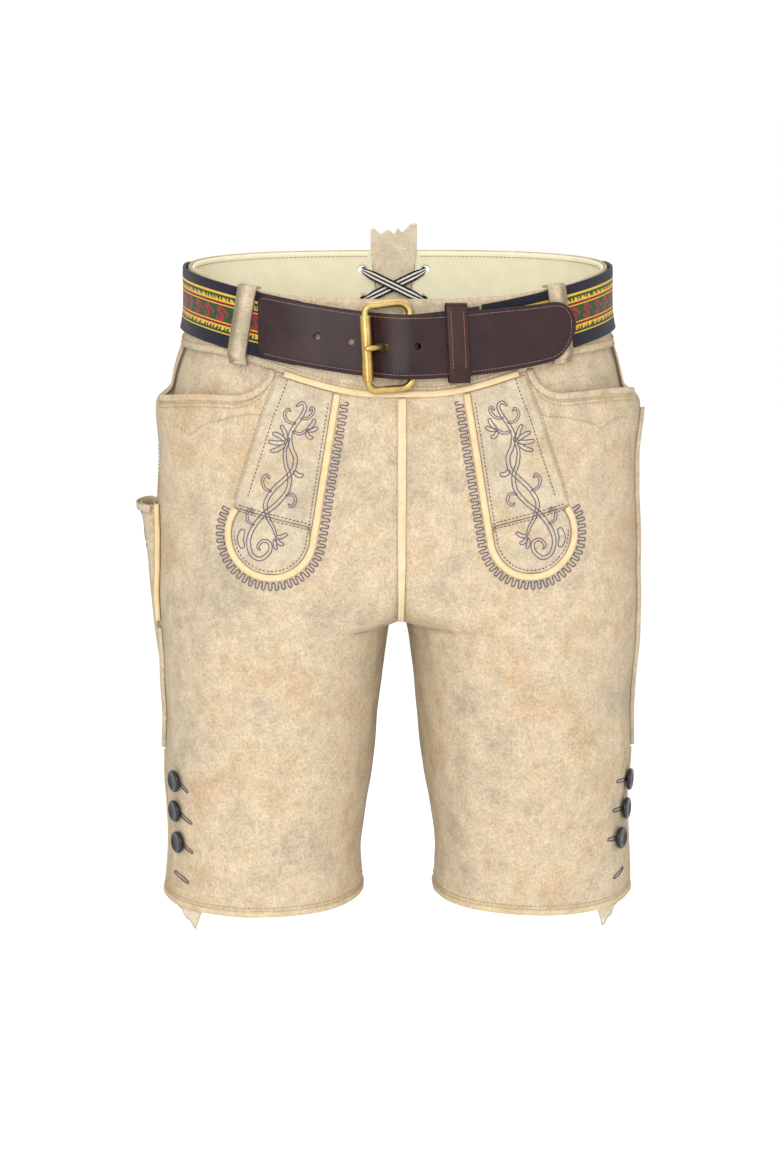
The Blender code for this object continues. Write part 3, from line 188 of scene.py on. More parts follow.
def smoothFinish(name, codes, roughness, grain, depth, metallic=0.0, **sockets):
    # an even surface with a little tone and a fine grain: grain leather, horn, brass or thread
    finish, tree, shader, place = newFinish(name, roughness, metallic, **sockets)
    tone = addNode(tree, "ShaderNodeTexNoise", values={"Scale": grain * 0.12, "Detail": 4.0,
                   "Roughness": 0.6}, links={"Vector": place})           # clouds eight grains across
    ramp = addNode(tree, "ShaderNodeValToRGB", links={"Fac": tone.outputs["Fac"]},
                   stops=((0.3, codes[0]), (0.7, codes[1])))
    tree.links.new(ramp.outputs["Color"], shader.inputs["Base Color"])
    cells = addNode(tree, "ShaderNodeTexVoronoi", {"feature": "DISTANCE_TO_EDGE"}, {"Scale": grain},
                    {"Vector": place})
    bump = addNode(tree, "ShaderNodeBump", values={"Strength": 0.3, "Distance": depth},
                   links={"Height": cells.outputs["Distance"]})
    tree.links.new(bump.outputs["Normal"], shader.inputs["Normal"])
    rough = addNode(tree, "ShaderNodeMapRange", values={"To Min": max(roughness - 0.08, 0.05),
                    "To Max": min(roughness + 0.1, 1.0)}, links={"Value": tone.outputs["Fac"]})
    tree.links.new(rough.outputs["Result"], shader.inputs["Roughness"])
    return finish


def yarnFinish(name, pitch):
    # woven yarn: the colour of each pick comes from the weave, with a rib across it
    finish, tree, shader, place = newFinish(name, 0.88, Specular_IOR_Level=0.2, Sheen_Weight=0.1)
    colour = addNode(tree, "ShaderNodeVertexColor", {"layer_name": "yarn"})
    fuzz = addNode(tree, "ShaderNodeTexNoise", values={"Scale": 1400.0, "Detail": 2.0},
                   links={"Vector": place})                              # fibres under 1 mm across
    fuzzTone = addNode(tree, "ShaderNodeValToRGB", links={"Fac": fuzz.outputs["Fac"]},
                       stops=((0.3, 0.72), (0.7, 1.1)))
    tree.links.new(multiply(tree, colour.outputs["Color"], fuzzTone.outputs["Color"]),
                   shader.inputs["Base Color"])
    flat = addNode(tree, "ShaderNodeUVMap", {"uv_map": "flat"})
    waveLength = 0.314                                                   # metres, at a scale of 1
    weave = [addNode(tree, "ShaderNodeTexWave", {"bands_direction": way},
                     {"Scale": waveLength / pitch, "Distortion": 0.0}, {"Vector": flat.outputs["UV"]})
             for way in ("X", "Y")]
    both = addNode(tree, "ShaderNodeMath", {"operation": "ADD"}, links={0: weave[0].outputs["Fac"],
                   1: weave[1].outputs["Fac"]})
    bump = addNode(tree, "ShaderNodeBump", values={"Strength": 0.5, "Distance": 0.0002},
                   links={"Height": both.outputs["Value"]})
    tree.links.new(bump.outputs["Normal"], shader.inputs["Normal"])
    return finish


finishes = {
    # split and buffed hide: soft, matt and mottled, paler where it has been cut or less worn
    "suede": suedeFinish("nappedSuede", "#D0BDA0", "#C8AE8C", "#BCAC93", 0.3),
    "trim": suedeFinish("trimSuede", "#CEBEA4", "#C6B192", "#BAAB93", 0.24),
    "gusset": suedeFinish("gussetSuede", "#E0D2B8", "#DCCBAC", "#D0C2A7", 0.2),
    "edge": suedeFinish("cutSuedeEdge", "#D3BF9B", "#CDB78F", "#C3B18F", 0.16),
    # smooth grain leather, cream: even and dull, with a faint grain
    "piping": smoothFinish("creamPiping", ("#D2B78A", "#DEC8A0"), 0.66, 900, 0.0001,
                           Specular_IOR_Level=0.25),
    "strip": smoothFinish("centreStrip", ("#CBB892", "#DAC8A6"), 0.75, 900, 0.0001,
                          Specular_IOR_Level=0.2),
    "facing": smoothFinish("facingLeather", ("#E4DDBD", "#ECE6C8"), 0.66, 700, 0.0001,
                           Specular_IOR_Level=0.25),
    # waxed belt leather, dark red-brown: a soft broad gloss and a coarser grain
    "belt": smoothFinish("beltLeather", ("#1D0B0D", "#32171A"), 0.42, 520, 0.0002,
                         Specular_IOR_Level=0.3),
    "keeper": smoothFinish("keeperLeather", ("#260F0E", "#3A1817"), 0.42, 520, 0.0002,
                           Specular_IOR_Level=0.3),
    # rubbed brass: yellow, with a wide soft highlight
    "brass": smoothFinish("satinBrass", ("#A8874A", "#D9BC7C"), 0.33, 420, 0.00004, 0.92),
    # polished horn: near black with a clear highlight
    "horn": smoothFinish("darkHorn", ("#07080C", "#10121A"), 0.34, 300, 0.00006, Coat_Weight=0.12),
    "web": yarnFinish("wovenBand", 0.0009),
    "lace": yarnFinish("wovenLace", 0.0008),
}
# polyester sewing thread: even and dull, a little brighter along its crown; two tones, roughness
sewingThreads = {
    "slateThread": ("#4C475C", "#625C70", 0.7), "darkThread": ("#3A3642", "#4E4956", 0.7),
    "tanThread": ("#A18F68", "#B5A37B", 0.8), "beltThread": ("#6E5450", "#8B716A", 0.7),
    "keeperThread": ("#7C5040", "#94664F", 0.7),
}
for name, (deep, pale, roughness) in sewingThreads.items():
    finishes[name] = smoothFinish(name, (deep, pale), roughness, 2500, 0.0001)
print("finishes made")

# the worn surface that every cloth piece lies on, in millimetres: +Z up, -Y front, +X the wearer's left
sides = {"Left": 1, "Right": -1}
sewingGap = 0.3
body = {
    # height, half width, depth in front, depth behind, squareness in front, squareness behind
    "sections": (
        (60, 160, 105, 109, 2.50, 3.00), (0, 163, 108, 112, 2.50, 3.00),
        (-45, 165, 112, 115, 2.50, 2.90), (-73, 174, 115, 119, 2.45, 2.70),
        (-106, 181, 117, 124, 2.40, 2.60), (-150, 188, 117, 131, 2.40, 2.50),
        (-203, 190, 115, 131, 2.35, 2.40), (-260, 191, 113, 121, 2.25, 2.30),
        (-309, 189.5, 109, 105, 2.15, 2.15), (-350, 187, 104, 95, 2.10, 2.10),
        (-391, 187, 100, 89, 2.10, 2.10), (-431, 186, 96, 85, 2.10, 2.10),
        (-472, 187, 93, 82, 2.10, 2.10), (-501, 189, 91, 80, 2.10, 2.10), (-540, 190, 90, 79, 2.10, 2.10)),
    "crotch": -277.0, "forkRise": 170.0, "forkPower": 3.2, "legMiddle": 95.5, "legSpread": 0.062,
    # height, distance of a leg's inner side from the middle
    "legGaps": ((-277.0, 0.0), (-278.5, 4.2), (-280, 5.6), (-284, 6.4), (-292, 7.8), (-309, 10.4),
                (-350, 15.2), (-391, 19.6), (-431, 24.8), (-472, 29.6), (-501, 29.0), (-540, 29.0)),
    # height, angle by which the side seam leads the side
    "seamLeads": ((-60, 0.10), (-110, 0.14), (-150, 0.20), (-345, 0.20), (-392, 0.06), (-540, 0.05)),
    # side (0 both), 1 front or -1 back, x and z of both ends, width, height of the fold
    "folds": (
        (-1, 1, 167, -56, 161, -100, 9, -2.6), (1, 1, 156, -58, 162, -100, 9, -2.4),
        (1, 1, 20, -240, 74, -264, 8, -1.4), (-1, 1, 26, -252, 96, -286, 13, -1.3),
        (-1, 1, 124, -322, 112, -474, 20, -1.6), (-1, 1, 70, -340, 78, -470, 17, 1.2),
        (1, 1, 62, -345, 70, -476, 18, -1.4), (1, 1, 112, -360, 106, -482, 16, 1.2),
        (0, -1, 24, -246, 118, -280, 14, -2.8), (0, -1, 34, -276, 132, -312, 15, -2.4),
        (-1, -1, 112, -330, 104, -472, 20, -1.8), (1, -1, 96, -335, 108, -474, 21, -1.6),
        # finer creases of the hide
        (-1, 1, 10, -228, 52, -246, 4, -0.5), (1, 1, 12, -262, 60, -292, 5, -0.6),
        (1, 1, 128, -112, 150, -150, 7, -0.6), (-1, 1, 132, -118, 150, -158, 7, -0.6),
        (0, -1, 60, -110, 40, -190, 10, -0.7), (1, -1, 120, -150, 100, -225, 10, -0.8),
        (-1, -1, 125, -140, 96, -215, 11, -0.8)),
    # length of the wave, height, number of waves: the slight unevenness of a worn hide
    "ripples": ((80, 0.45, 9), (30, 0.16, 9)), "rippleSpread": (0.75, 1.3), "rippleGain": 1.6,
    "rippleLeast": 0.25, "rippleFull": (60.0, 110.0),
    # the pocket mouth stands out; depths where that starts and is full, in front and at the side; its end
    "flare": 9.0, "flareTop": (74.0, 93.0), "flareFull": (94.0, 107.0), "flareEnd": 172.0,
    "flareTurn": (2.75, 3.02), "flareGrows": (2.25, 2.95), "flareFades": 0.55,
}


def blend(first, last, share):
    return first + (last - first) * share


def ease(value, low, high):
    t = np.clip((value - low) / (high - low), 0.0, 1.0)
    return t * t * (3 - 2 * t)


def curveThrough(rows, index):
    ordered = sorted(rows)
    spots = np.array([row[0] for row in ordered], float)
    values = np.array([row[index] for row in ordered], float)
    slopes = np.gradient(values, spots)

    def value(spot):
        spot = np.clip(spot, spots[0], spots[-1])
        k = np.clip(np.searchsorted(spots, spot) - 1, 0, len(spots) - 2)
        step = spots[k + 1] - spots[k]
        t = (spot - spots[k]) / step
        rise = (3 - 2 * t) * t * t
        start = t * (1 - t) ** 2 * step * slopes[k]
        end = t * t * (t - 1) * step * slopes[k + 1]
        return values[k] * (1 - rise) + values[k + 1] * rise + start + end

    return value


bodyCurves = [curveThrough(body["sections"], index) for index in range(1, 6)]
legGap = curveThrough(body["legGaps"], 1)
seamLead = curveThrough(body["seamLeads"], 1)


def ring(z):
    half, front, back, frontPower, backPower = (curve(z) for curve in bodyCurves)
    share = np.clip((z - body["crotch"]) / body["forkRise"], 0.0, 1.0)
    joined = z > body["crotch"]
    inner = np.where(joined, -half * (1 - (1 - share) ** body["forkPower"]), legGap(z))
    spread = body["legMiddle"] + (body["crotch"] - z) * body["legSpread"]
    middle = np.where(joined, body["legMiddle"] * (1 - ease(share, 0.0, 1.0)), spread)
    return SimpleNamespace(middle=middle, inside=middle - inner, outside=half - middle, front=front,
                           back=back, frontPower=frontPower, backPower=backPower)


def ringPoint(phi, z):
    # the angle runs from the inside, over the front, the side (pi) and the back
    level = ring(z)
    cosine, sine = np.cos(phi), np.sin(phi)
    power = np.where(sine < 0, level.backPower, level.frontPower)
    depth = np.where(sine < 0, level.back, level.front)
    scale = (np.abs(cosine) ** power + np.abs(sine) ** power) ** (-1 / power)
    radius = np.where(cosine > 0, level.inside, level.outside)
    return np.stack((level.middle - radius * scale * cosine, -depth * scale * sine, z + 0 * phi), -1)


def unit(vectors):
    return vectors / np.linalg.norm(vectors, axis=-1, keepdims=True)


def outward(phi, z):
    turn, rise = 0.004, 0.5                          # short steps to both sides, up and down
    along = ringPoint(phi + turn, z) - ringPoint(phi - turn, z)
    return unit(np.cross(along, ringPoint(phi, z + rise) - ringPoint(phi, z - rise)))


def angleAt(x, z, face):
    level = ring(z)
    power = level.frontPower if face > 0 else level.backPower
    radius = np.where(x < level.middle, level.inside, level.outside)
    cosine = np.clip((level.middle - x) / radius, -1.0, 1.0)
    sine = (1 - np.abs(cosine) ** power) ** (1 / power)
    phi = np.arctan2(sine, cosine)
    return phi if face > 0 else 2 * math.pi - phi


def foldHeight(x, face, z):
    total = 0.0 * x
    for side, foldFace, x1, z1, x2, z2, width, height in body["folds"]:
        run = (x2 - x1, z2 - z1)
        length = math.hypot(*run)
        aside, up = np.abs(x) - x1, z - z1
        along = (aside * run[0] + up * run[1]) / length ** 2
        apart = np.abs(aside * run[1] - up * run[0]) / length
        here = (face == foldFace) & (side * x >= 0)
        ends = np.clip(1 - np.abs(2 * along - 1) ** 3, 0.0, None)
        total = total + here * height * ends * np.exp(-(apart / width) ** 2)
    return total


def flareHeight(phi, z):
    turn = ease(phi, *body["flareTurn"])
    top, full = blend(*body["flareTop"], turn), blend(*body["flareFull"], turn)
    rise = ease(-z, top, full) * (1 - ease(-z, full, body["flareEnd"])) ** 2
    spread = ease(phi, *body["flareGrows"]) * (1 - ease(phi, math.pi, math.pi + body["flareFades"]))
    return body["flare"] * rise * spread


def rippleHeight(spots):
    draw = np.random.default_rng(7)
    total = 0.0
    for length, height, count in body["ripples"]:
        for _ in range(count):
            way = draw.normal(size=3)
            way *= 2 * math.pi / (length * draw.uniform(*body["rippleSpread"]) * np.linalg.norm(way))
            wave = np.sin(spots @ way + draw.uniform(0, 6.28))
            total = total + height * body["rippleGain"] / count ** 0.5 * wave
    belowBelt = ease(-spots[..., 2], *body["rippleFull"])
    return total * blend(body["rippleLeast"], 1.0, belowBelt)      # less of it under the belt


def place(side, phi, z, lift=0.0, flare=1.0):
    phi, z = np.broadcast_arrays(np.asarray(phi, float), np.asarray(z, float))
    base = ringPoint(phi, z)
    face = np.where(np.sin(phi) > 0, 1, -1)
    worn = base * 1.0
    worn[..., 0] *= side
    height = lift + foldHeight(worn[..., 0], face, z) + flare * flareHeight(phi, z) + rippleHeight(worn)
    spot = base + outward(phi, z) * np.asarray(height)[..., None]
    spot[..., 0] *= side
    return spot


def skin(side, phi, z, lift=0.0, flare=1.0):
    spot = place(side, phi, z, lift, flare)
    spot[..., 0] = side * np.maximum(side * spot[..., 0], sewingGap / 2)
    return spot


def centrePlace(x, z, lift, face):
    x, z, lift = np.broadcast_arrays(np.asarray(x, float), np.asarray(z, float), np.asarray(lift, float))
    side = np.where(x >= 0, 1, -1)
    phi = angleAt(np.abs(x), z, face)
    spot = place(side, phi, z, lift)
    near = ease(np.abs(x), 0.0, 1.5)                 # in the very middle the two sides' normals are joined
    spot[..., 0] = blend(x, spot[..., 0], near)
    return spot


def facingOut(side, phi, z):
    normal = outward(phi, z)
    normal[..., 0] *= side
    return normal


def sideSeam(z):
    return math.pi - seamLead(z)


def edgeAngle(z):
    return sewingGap / 2 / ring(z).front


# builders: a sheet, a bar along a seam, and thread

thread = {"row": 3.0, "rowShare": 0.62, "rise": 0.3, "sunk": 0.35, "heavy": 0.42, "fine": 0.32,
          "trimLift": 1.6, "panelLift": 0.2, "seamLift": 0.1, "waistScale": 150.0, "legScale": 75.0,
          "pocketScale": 60.0}           # the scales turn an angle into millimetres along the cloth


def addPiece(name, mesh, finish, nodes=(), edge=None):
    mesh.materials.append(finishes[finish])
    if edge:
        mesh.materials.append(finishes[edge])
    mesh.shade_smooth()
    thing = addObject(name, mesh)
    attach(thing, "root")
    if nodes:
        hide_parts(*nodes)
    return thing


def thicken(thing, thickness, offset=-1.0, rim=0):
    shell = thing.modifiers.new("thickness", "SOLIDIFY")
    shell.thickness = thickness * 0.001
    shell.offset = offset
    shell.material_offset_rim = rim


def finishedMesh(thing):
    bpy.context.view_layer.update()
    return bpy.data.meshes.new_from_object(thing.evaluated_get(bpy.context.evaluated_depsgraph_get()))


def addSheet(name, finish, slot, nodes, columns, rows, point, thickness, side=1, edge=None, held=None,
             yarn=None):
    # a grid laid on point(u, v), its outer face; held is not used
    bm = bmesh.new()
    bmesh.ops.create_grid(bm, x_segments=columns, y_segments=rows, size=0.5)
    if side < 0:
        bmesh.ops.reverse_faces(bm, faces=bm.faces)
    mesh = toMesh(bm, name)
    flat = np.empty(len(mesh.vertices) * 3)
    mesh.vertices.foreach_get("co", flat)
    u, v = flat[0::3] + 0.5, 0.5 - flat[1::3]
    spots = point(u, v)
    mesh.vertices.foreach_set("co", (spots * 0.001).ravel())
    woven = spots[np.lexsort((u, np.round(v * rows)))].reshape(rows + 1, columns + 1, 3)
    width = np.linalg.norm(np.diff(woven, axis=1), axis=2).sum(1).max() / 1000
    length = np.linalg.norm(np.diff(woven, axis=0), axis=2).sum(0).max() / 1000
    corners = np.empty(len(mesh.loops), int)
    mesh.loops.foreach_get("vertex_index", corners)
    laid = mesh.uv_layers.new(name="flat")
    laid.data.foreach_set("uv", np.stack((u[corners] * width, v[corners] * length), -1).ravel())
    if yarn:
        middles = np.stack((u, v), -1)[corners].reshape(-1, 4, 2).mean(1)
        dyed = mesh.color_attributes.new("yarn", "FLOAT_COLOR", "CORNER")
        colours = yarn(middles[:, 0], middles[:, 1], width)
        dyed.data.foreach_set("color", np.repeat(colours, 4, 0).ravel())
    mesh.update()
    thing = addPiece(name, mesh, finish, nodes, edge)
    thicken(thing, thickness, rim=1 if edge else 0)
    return thing


def gridOn(columns, rows, point):
    # a grid whose corner at the shares u and v lies on point(u, v)
    bm = bmesh.new()
    bmesh.ops.create_grid(bm, x_segments=columns, y_segments=rows, size=0.5)
    u, v = (np.array([vert.co[k] + 0.5 for vert in bm.verts]) for k in (0, 1))
    for vert, spot in zip(bm.verts, point(u, v)):
        vert.co = spot * 0.001
    return bm


def closeUp(bm, fill=None, dist=0.00001):
    # joins the corners that meet, closes what fill is to close, and turns the faces outwards
    bmesh.ops.remove_doubles(bm, verts=bm.verts, dist=dist)
    if fill:
        fill(bm)
    bmesh.ops.recalc_face_normals(bm, faces=bm.faces)


def bead(steps=10, power=0.8):
    return [(-math.cos(t) / 2, max(math.sin(t), 0.0) ** power) for t in np.linspace(0, math.pi, steps)]


def strip(corner, steps=4):
    # a flat bar's section with rounded upper corners
    turns = np.linspace(0, math.pi / 2, steps)
    left = [(-0.5 + corner * (1 - math.sin(t)), 1 - 0.35 * (1 - math.sin(t))) for t in turns]
    return [(-0.5, 0.0)] + left + [(-x, y) for x, y in reversed(left)] + [(0.5, 0.0)]


def roundBar(steps=14):
    turns = np.linspace(0, 2 * math.pi, steps, endpoint=False)
    return [(math.cos(t) / 2, 0.5 + math.sin(t) / 2) for t in turns]


def addBar(name, finish, nodes, route, normals, profile, width, height, lift):
    section = np.array(profile)
    across = unit(np.cross(np.gradient(route, axis=0), normals))

    def corner(k, j):
        rise = lift + section[k, 1] * height
        return route[j] + across[j] * (section[k, 0] * width)[:, None] + normals[j] * rise[:, None]

    around, along = len(profile), len(route) - 1
    bm = gridOn(around, along, lambda u, v: corner(np.round(u * around).astype(int) % around,
                                                   np.round(v * along).astype(int)))
    closeUp(bm, lambda bm: bmesh.ops.holes_fill(bm, edges=bm.edges, sides=around), 0.000002)
    addPiece(name, toMesh(bm, name), finish, nodes)


def seamBar(name, finish, nodes, side, phi, z, profile, size):
    # size has the bar's width and height and its lift over the worn surface
    addBar(name, finish, nodes, place(side, phi, z), facingOut(side, phi, z), profile,
           size["width"], size["height"], size["lift"])


def addTurned(name, finish, nodes, section, steps, axis, spot):
    # a round piece turned from a row of (radius, height), then set on its axis and in its place
    bm = bmesh.new()
    row = [bm.verts.new((radius * 0.001, 0.0, rise * 0.001)) for radius, rise in section]
    bored = row[:1] if section[0][0] > 0 else []
    edges = [bm.edges.new(pair) for pair in zip(row, row[1:] + bored)]
    bmesh.ops.spin(bm, geom=row + edges, cent=(0, 0, 0), axis=(0, 0, 1), angle=2 * math.pi, steps=steps,
                   use_merge=True)
    closeUp(bm)
    turn = Vector(axis).to_track_quat("Z", "Y").to_matrix().to_4x4()
    bmesh.ops.transform(bm, matrix=turn, verts=bm.verts)
    bmesh.ops.translate(bm, verts=bm.verts, vec=Vector(spot) * 0.001)
    return addPiece(name, toMesh(bm, name), finish, nodes)


def addThread(name, finish, runs, radius, sides=6):
    # runs are lists of (points, share of the radius at each point, closed); they become one mesh
    curve = bpy.data.curves.new(name, "CURVE")
    curve.dimensions = "3D"
    curve.bevel_depth = radius * 0.001
    curve.bevel_resolution = sides // 2 - 2
    curve.use_fill_caps = True
    for points, thick, closed in runs:
        spline = curve.splines.new("POLY")
        spline.points.add(len(points) - 1)
        spots = np.concatenate((np.asarray(points) * 0.001, np.ones((len(points), 1))), 1)
        spline.points.foreach_set("co", spots.ravel())
        spline.points.foreach_set("radius", np.broadcast_to(thick, len(points)).astype(float))
        spline.use_cyclic_u = closed
    thing = addObject(name, curve)
    mesh = finishedMesh(thing)
    mesh.name = name
    bpy.data.objects.remove(thing)
    bpy.data.curves.remove(curve)
    return addPiece(name, mesh, finish)


def spaced(route, step):
    # the same line with a point every step, and how far along each point lies
    far = np.concatenate(([0.0], np.cumsum(np.linalg.norm(np.diff(route, axis=0), axis=1))))
    count = max(2, round(far[-1] / step) + 1)
    stops = np.linspace(0.0, far[-1], count)
    return np.stack([np.interp(stops, far, route[:, k]) for k in range(route.shape[1])], -1), stops


def stitchRun(surface, line, pitch=thread["row"], share=thread["rowShare"]):
    # short stitches along a flat line of (x, z) or (angle, z); surface(a, b, lift) puts them on the cloth
    even, stops = spaced(np.asarray(line, float), pitch / 8)
    runs = []
    for k in range(int(stops[-1] / pitch)):
        ends = k * pitch + pitch * share * np.array((0.0, 0.22, 0.78, 1.0))
        a, b = (np.interp(ends, stops, even[:, n]) for n in (0, 1))
        rise = np.array((-thread["sunk"], 1.0, 1.0, -thread["sunk"])) * thread["rise"]
        runs.append((surface(a, b, rise), 1.0, False))
    return runs


def onFront(side, lift=0.0):
    return lambda x, z, more: place(side, angleAt(x, z, 1), z, lift + more)


def sideRow(side, phi, z, lift=thread["seamLift"], scale=thread["waistScale"], way=1, flare=1.0):
    # stitches along angles and heights; the scale makes their steps true lengths, way -1 is the inside
    return stitchRun(lambda a, high, more: place(side, a / scale, high, lift + way * more, flare),
                     np.stack((phi * scale, z + 0 * phi), -1))


def smoothLine(spots, step=0.6):
    # a smooth curve through a few given points
    spots = np.asarray(spots, float)
    padded = np.concatenate((2 * spots[:1] - spots[1:2], spots, 2 * spots[-1:] - spots[-2:-1]))
    parts = []
    for a, b, c, d in zip(padded, padded[1:], padded[2:], padded[3:]):
        t = np.linspace(0, 1, 12, endpoint=False)[:, None]
        parts.append(0.5 * (2 * b + (c - a) * t + (2 * a - 5 * b + 4 * c - d) * t ** 2
                            + (3 * b - a - 3 * c + d) * t ** 3))
    return spaced(np.concatenate(parts + [spots[-1:]]), step)[0]


# waistband and its facing
band = {"topDip": 17.0, "topRise": 2.5, "sideZ": -61.0, "rise": (0.10, 0.87), "frontZ": -88.0,
        "backZ": -66.0, "lift": 0.8, "thick": 2.4, "columns": 150, "rows": 18, "stitchUp": 5.0,
        "level": -30.0, "lowLevel": -75.0}           # the two levels are where its angles are read
facing = {"lift": -2.1, "thick": 1.0, "topGap": 0.6, "bottomGap": 8.0, "stitchDown": 4.5}
notch = {"half": 19.0, "end": -130.0, "eyelet": 3.5, "eyelets": ((26.0, -13.5), (24.5, -38.0))}
punchDepth = 14.0


def widthShare(phi, z=0.0):
    return np.minimum(np.abs(ringPoint(phi, z)[..., 0]) / bodyCurves[0](z), 1.0)


def waistTop(phi):
    hollow = 1 - widthShare(phi) ** 3
    return np.where(np.sin(phi) > 0, -band["topDip"], band["topRise"]) * hollow


def bandBottom(phi):
    share = ease(widthShare(phi, band["lowLevel"]), *band["rise"])
    return blend(np.where(np.sin(phi) > 0, band["frontZ"], band["backZ"]), band["sideZ"], share)


def notchHalf(z):
    return np.maximum(sewingGap / 2, notch["half"] * (z - notch["end"]) / -notch["end"])


def frontInner(z):
    return np.maximum(angleAt(sewingGap / 2, z, 1), edgeAngle(z))


def backInner(z):
    return np.minimum(angleAt(notchHalf(z), z, -1), 2 * math.pi - edgeAngle(z))


def bandPoint(side, u, share, lift, topGap=0.0, bottomGap=0.0):
    nominal = blend(frontInner(band["level"]), backInner(band["level"]), u)
    z = blend(waistTop(nominal) - topGap, bandBottom(nominal) + bottomGap, share)
    return skin(side, blend(frontInner(z), backInner(z), u), z, lift, 0.0)


def punch(thing, holes):
    # cuts holes: each is a middle, a direction, a radius and how far it is stretched each way
    cutters = []
    for middle, way, radius, stretch in holes:
        bpy.ops.mesh.primitive_cylinder_add(vertices=28, radius=radius * 0.001, depth=punchDepth * 0.001)
        cutter = bpy.context.object
        cutter.location = Vector(middle) * 0.001
        cutter.rotation_euler = Vector(way).to_track_quat("Z", "Y").to_euler()
        cutter.scale = (*stretch, 1.0)
        cutters.append(cutter)
        hole = thing.modifiers.new("hole", "BOOLEAN")
        hole.object = cutter
    mesh = finishedMesh(thing)
    thing.modifiers.clear()
    thing.data = mesh
    for cutter in cutters:
        bpy.data.objects.remove(cutter)


def eyeletHoles(side):
    holes = []
    for x, z in notch["eyelets"]:
        phi = angleAt(x, z, -1)
        holes.append((centrePlace(side * x, z, -1.0, -1), facingOut(side, phi, z), notch["eyelet"], (1, 1)))
    return holes


for word, side in sides.items():
    low = word.lower()
    piece = addSheet(f"waistband{word}", "suede", "suede", [f"waistband_{low}"], band["columns"],
                     band["rows"], lambda u, v: bandPoint(side, u, v, band["lift"]), band["thick"], side,
                     "edge", ("stretched", ()))
    punch(piece, eyeletHoles(side))
    gaps = facing["lift"], facing["topGap"], facing["bottomGap"]
    piece = addSheet(f"waistFacing{word}", "facing", "facing", [f"waist_facing_{low}"], band["columns"],
                     band["rows"], lambda u, v: bandPoint(side, u, v, *gaps), facing["thick"], side, None,
                     ("laid", (f"waistband{word}",)))
    punch(piece, eyeletHoles(side))
print("waistband made")

# panels, pocket mouths and hip pieces
panel = {"thick": 1.6, "columns": 85, "upperRows": 92, "lowerRows": 84, "upperCrowd": 1.25,
         "lowerCrowd": 1.05, "rowStart": -215.0, "hem": -499.0, "end": -500.5}
# of each pocket mouth: start in x, floor, length of its rounded corner, droop at the side and its power
mouths = {1: (100.3, -90.5, 22.0, 13.0, 6), -1: (100.7, -92.0, 28.0, 13.0, 3)}
mouth = {"level": -80.0, "sideLevel": -100.0, "column": 0.4, "crowd": 1.5, "even": -150.0,
         "droopStart": 125.0, "droopLength": 57.0, "over": 0.4, "width": 5.3, "height": 1.7, "lift": 0.1,
         "edgeSide": (-104.0, 0.008), "edgeCrowd": 1.7, "edgeStart": 0.03}
hip = {"start": 14.0, "tuck": 6.0, "lap": 0.07, "lift": -3.6, "thick": 1.4, "end": -168.0, "cells": 36,
       "level": -75.0, "sideLevel": -80.0}


def panelLevel(v):
    row = v * (panel["upperRows"] + panel["lowerRows"])
    up = np.clip(1 - row / panel["upperRows"], 0.0, 1.0) ** panel["upperCrowd"]
    down = np.clip(row / panel["lowerRows"] - panel["upperRows"] / panel["lowerRows"], 0.0, 1.0)
    upper = blend(body["crotch"], band["frontZ"] - sewingGap, up)
    lower = blend(body["crotch"], panel["end"], down ** panel["lowerCrowd"])
    return np.where(row <= panel["upperRows"], upper, lower)


def mouthStart(side):
    return angleAt(mouths[side][0], mouth["level"], 1)


def mouthHeight(side, phi):
    start, floor, length, droop, power = mouths[side]
    x = ringPoint(phi, mouth["level"])[..., 0]
    top = bandBottom(phi)
    corner = 1 - np.sqrt(1 - np.clip(1 - (x - start) / length, 0.0, 1.0) ** 2)
    edge = blend(floor, bandBottom(mouthStart(side)), corner)
    fall = droop * np.clip((x - mouth["droopStart"]) / mouth["droopLength"], 0.0, None) ** power
    return np.where(x <= start, top, np.minimum(top, edge - fall))


def frontShare(side, u, level):
    # near the top, one column of the panel stands at the start of the pocket mouth
    inner, outer = frontInner(mouth["level"]), sideSeam(mouth["sideLevel"])
    start = (mouthStart(side) - inner) / (outer - inner)
    after = np.clip((u - mouth["column"]) / (1 - mouth["column"]), 0.0, 1.0)
    share = np.where(u <= mouth["column"], start * u / mouth["column"],
                     blend(start, 1.0, after ** mouth["crowd"]))
    return blend(u, share, ease(level, panel["rowStart"], mouth["even"]))


def rowHeight(v, top):
    # rows are level below the pocket and follow the panel's upper edge above it
    level = panelLevel(v)
    return level, level + (top - panelLevel(0.0)) * ease(level, panel["rowStart"], panelLevel(0.0))


def frontPanelPoint(side, u, v):
    inner, outer = frontInner(mouth["level"]), sideSeam(mouth["sideLevel"])
    top = mouthHeight(side, blend(inner, outer, frontShare(side, u, mouth["level"]))) - sewingGap
    level, z = rowHeight(v, top)
    return skin(side, blend(frontInner(z), sideSeam(z) - edgeAngle(z), frontShare(side, u, level)), z)


def backPanelPoint(side, u, v):
    top = bandBottom(blend(sideSeam(band["backZ"]), backInner(band["backZ"]), u)) - sewingGap
    z = rowHeight(v, top)[1]
    return skin(side, blend(sideSeam(z) + edgeAngle(z), backInner(z), u), z)


def hipPoint(side, u, v):
    start = mouths[side][0] - hip["start"]
    nominal = blend(angleAt(start, hip["level"], 1), sideSeam(hip["sideLevel"]) + hip["lap"], u)
    z = blend(bandBottom(nominal) + hip["tuck"], hip["end"], v)
    return skin(side, blend(angleAt(start, z, 1), sideSeam(z) + hip["lap"], u), z, hip["lift"], 0.0)


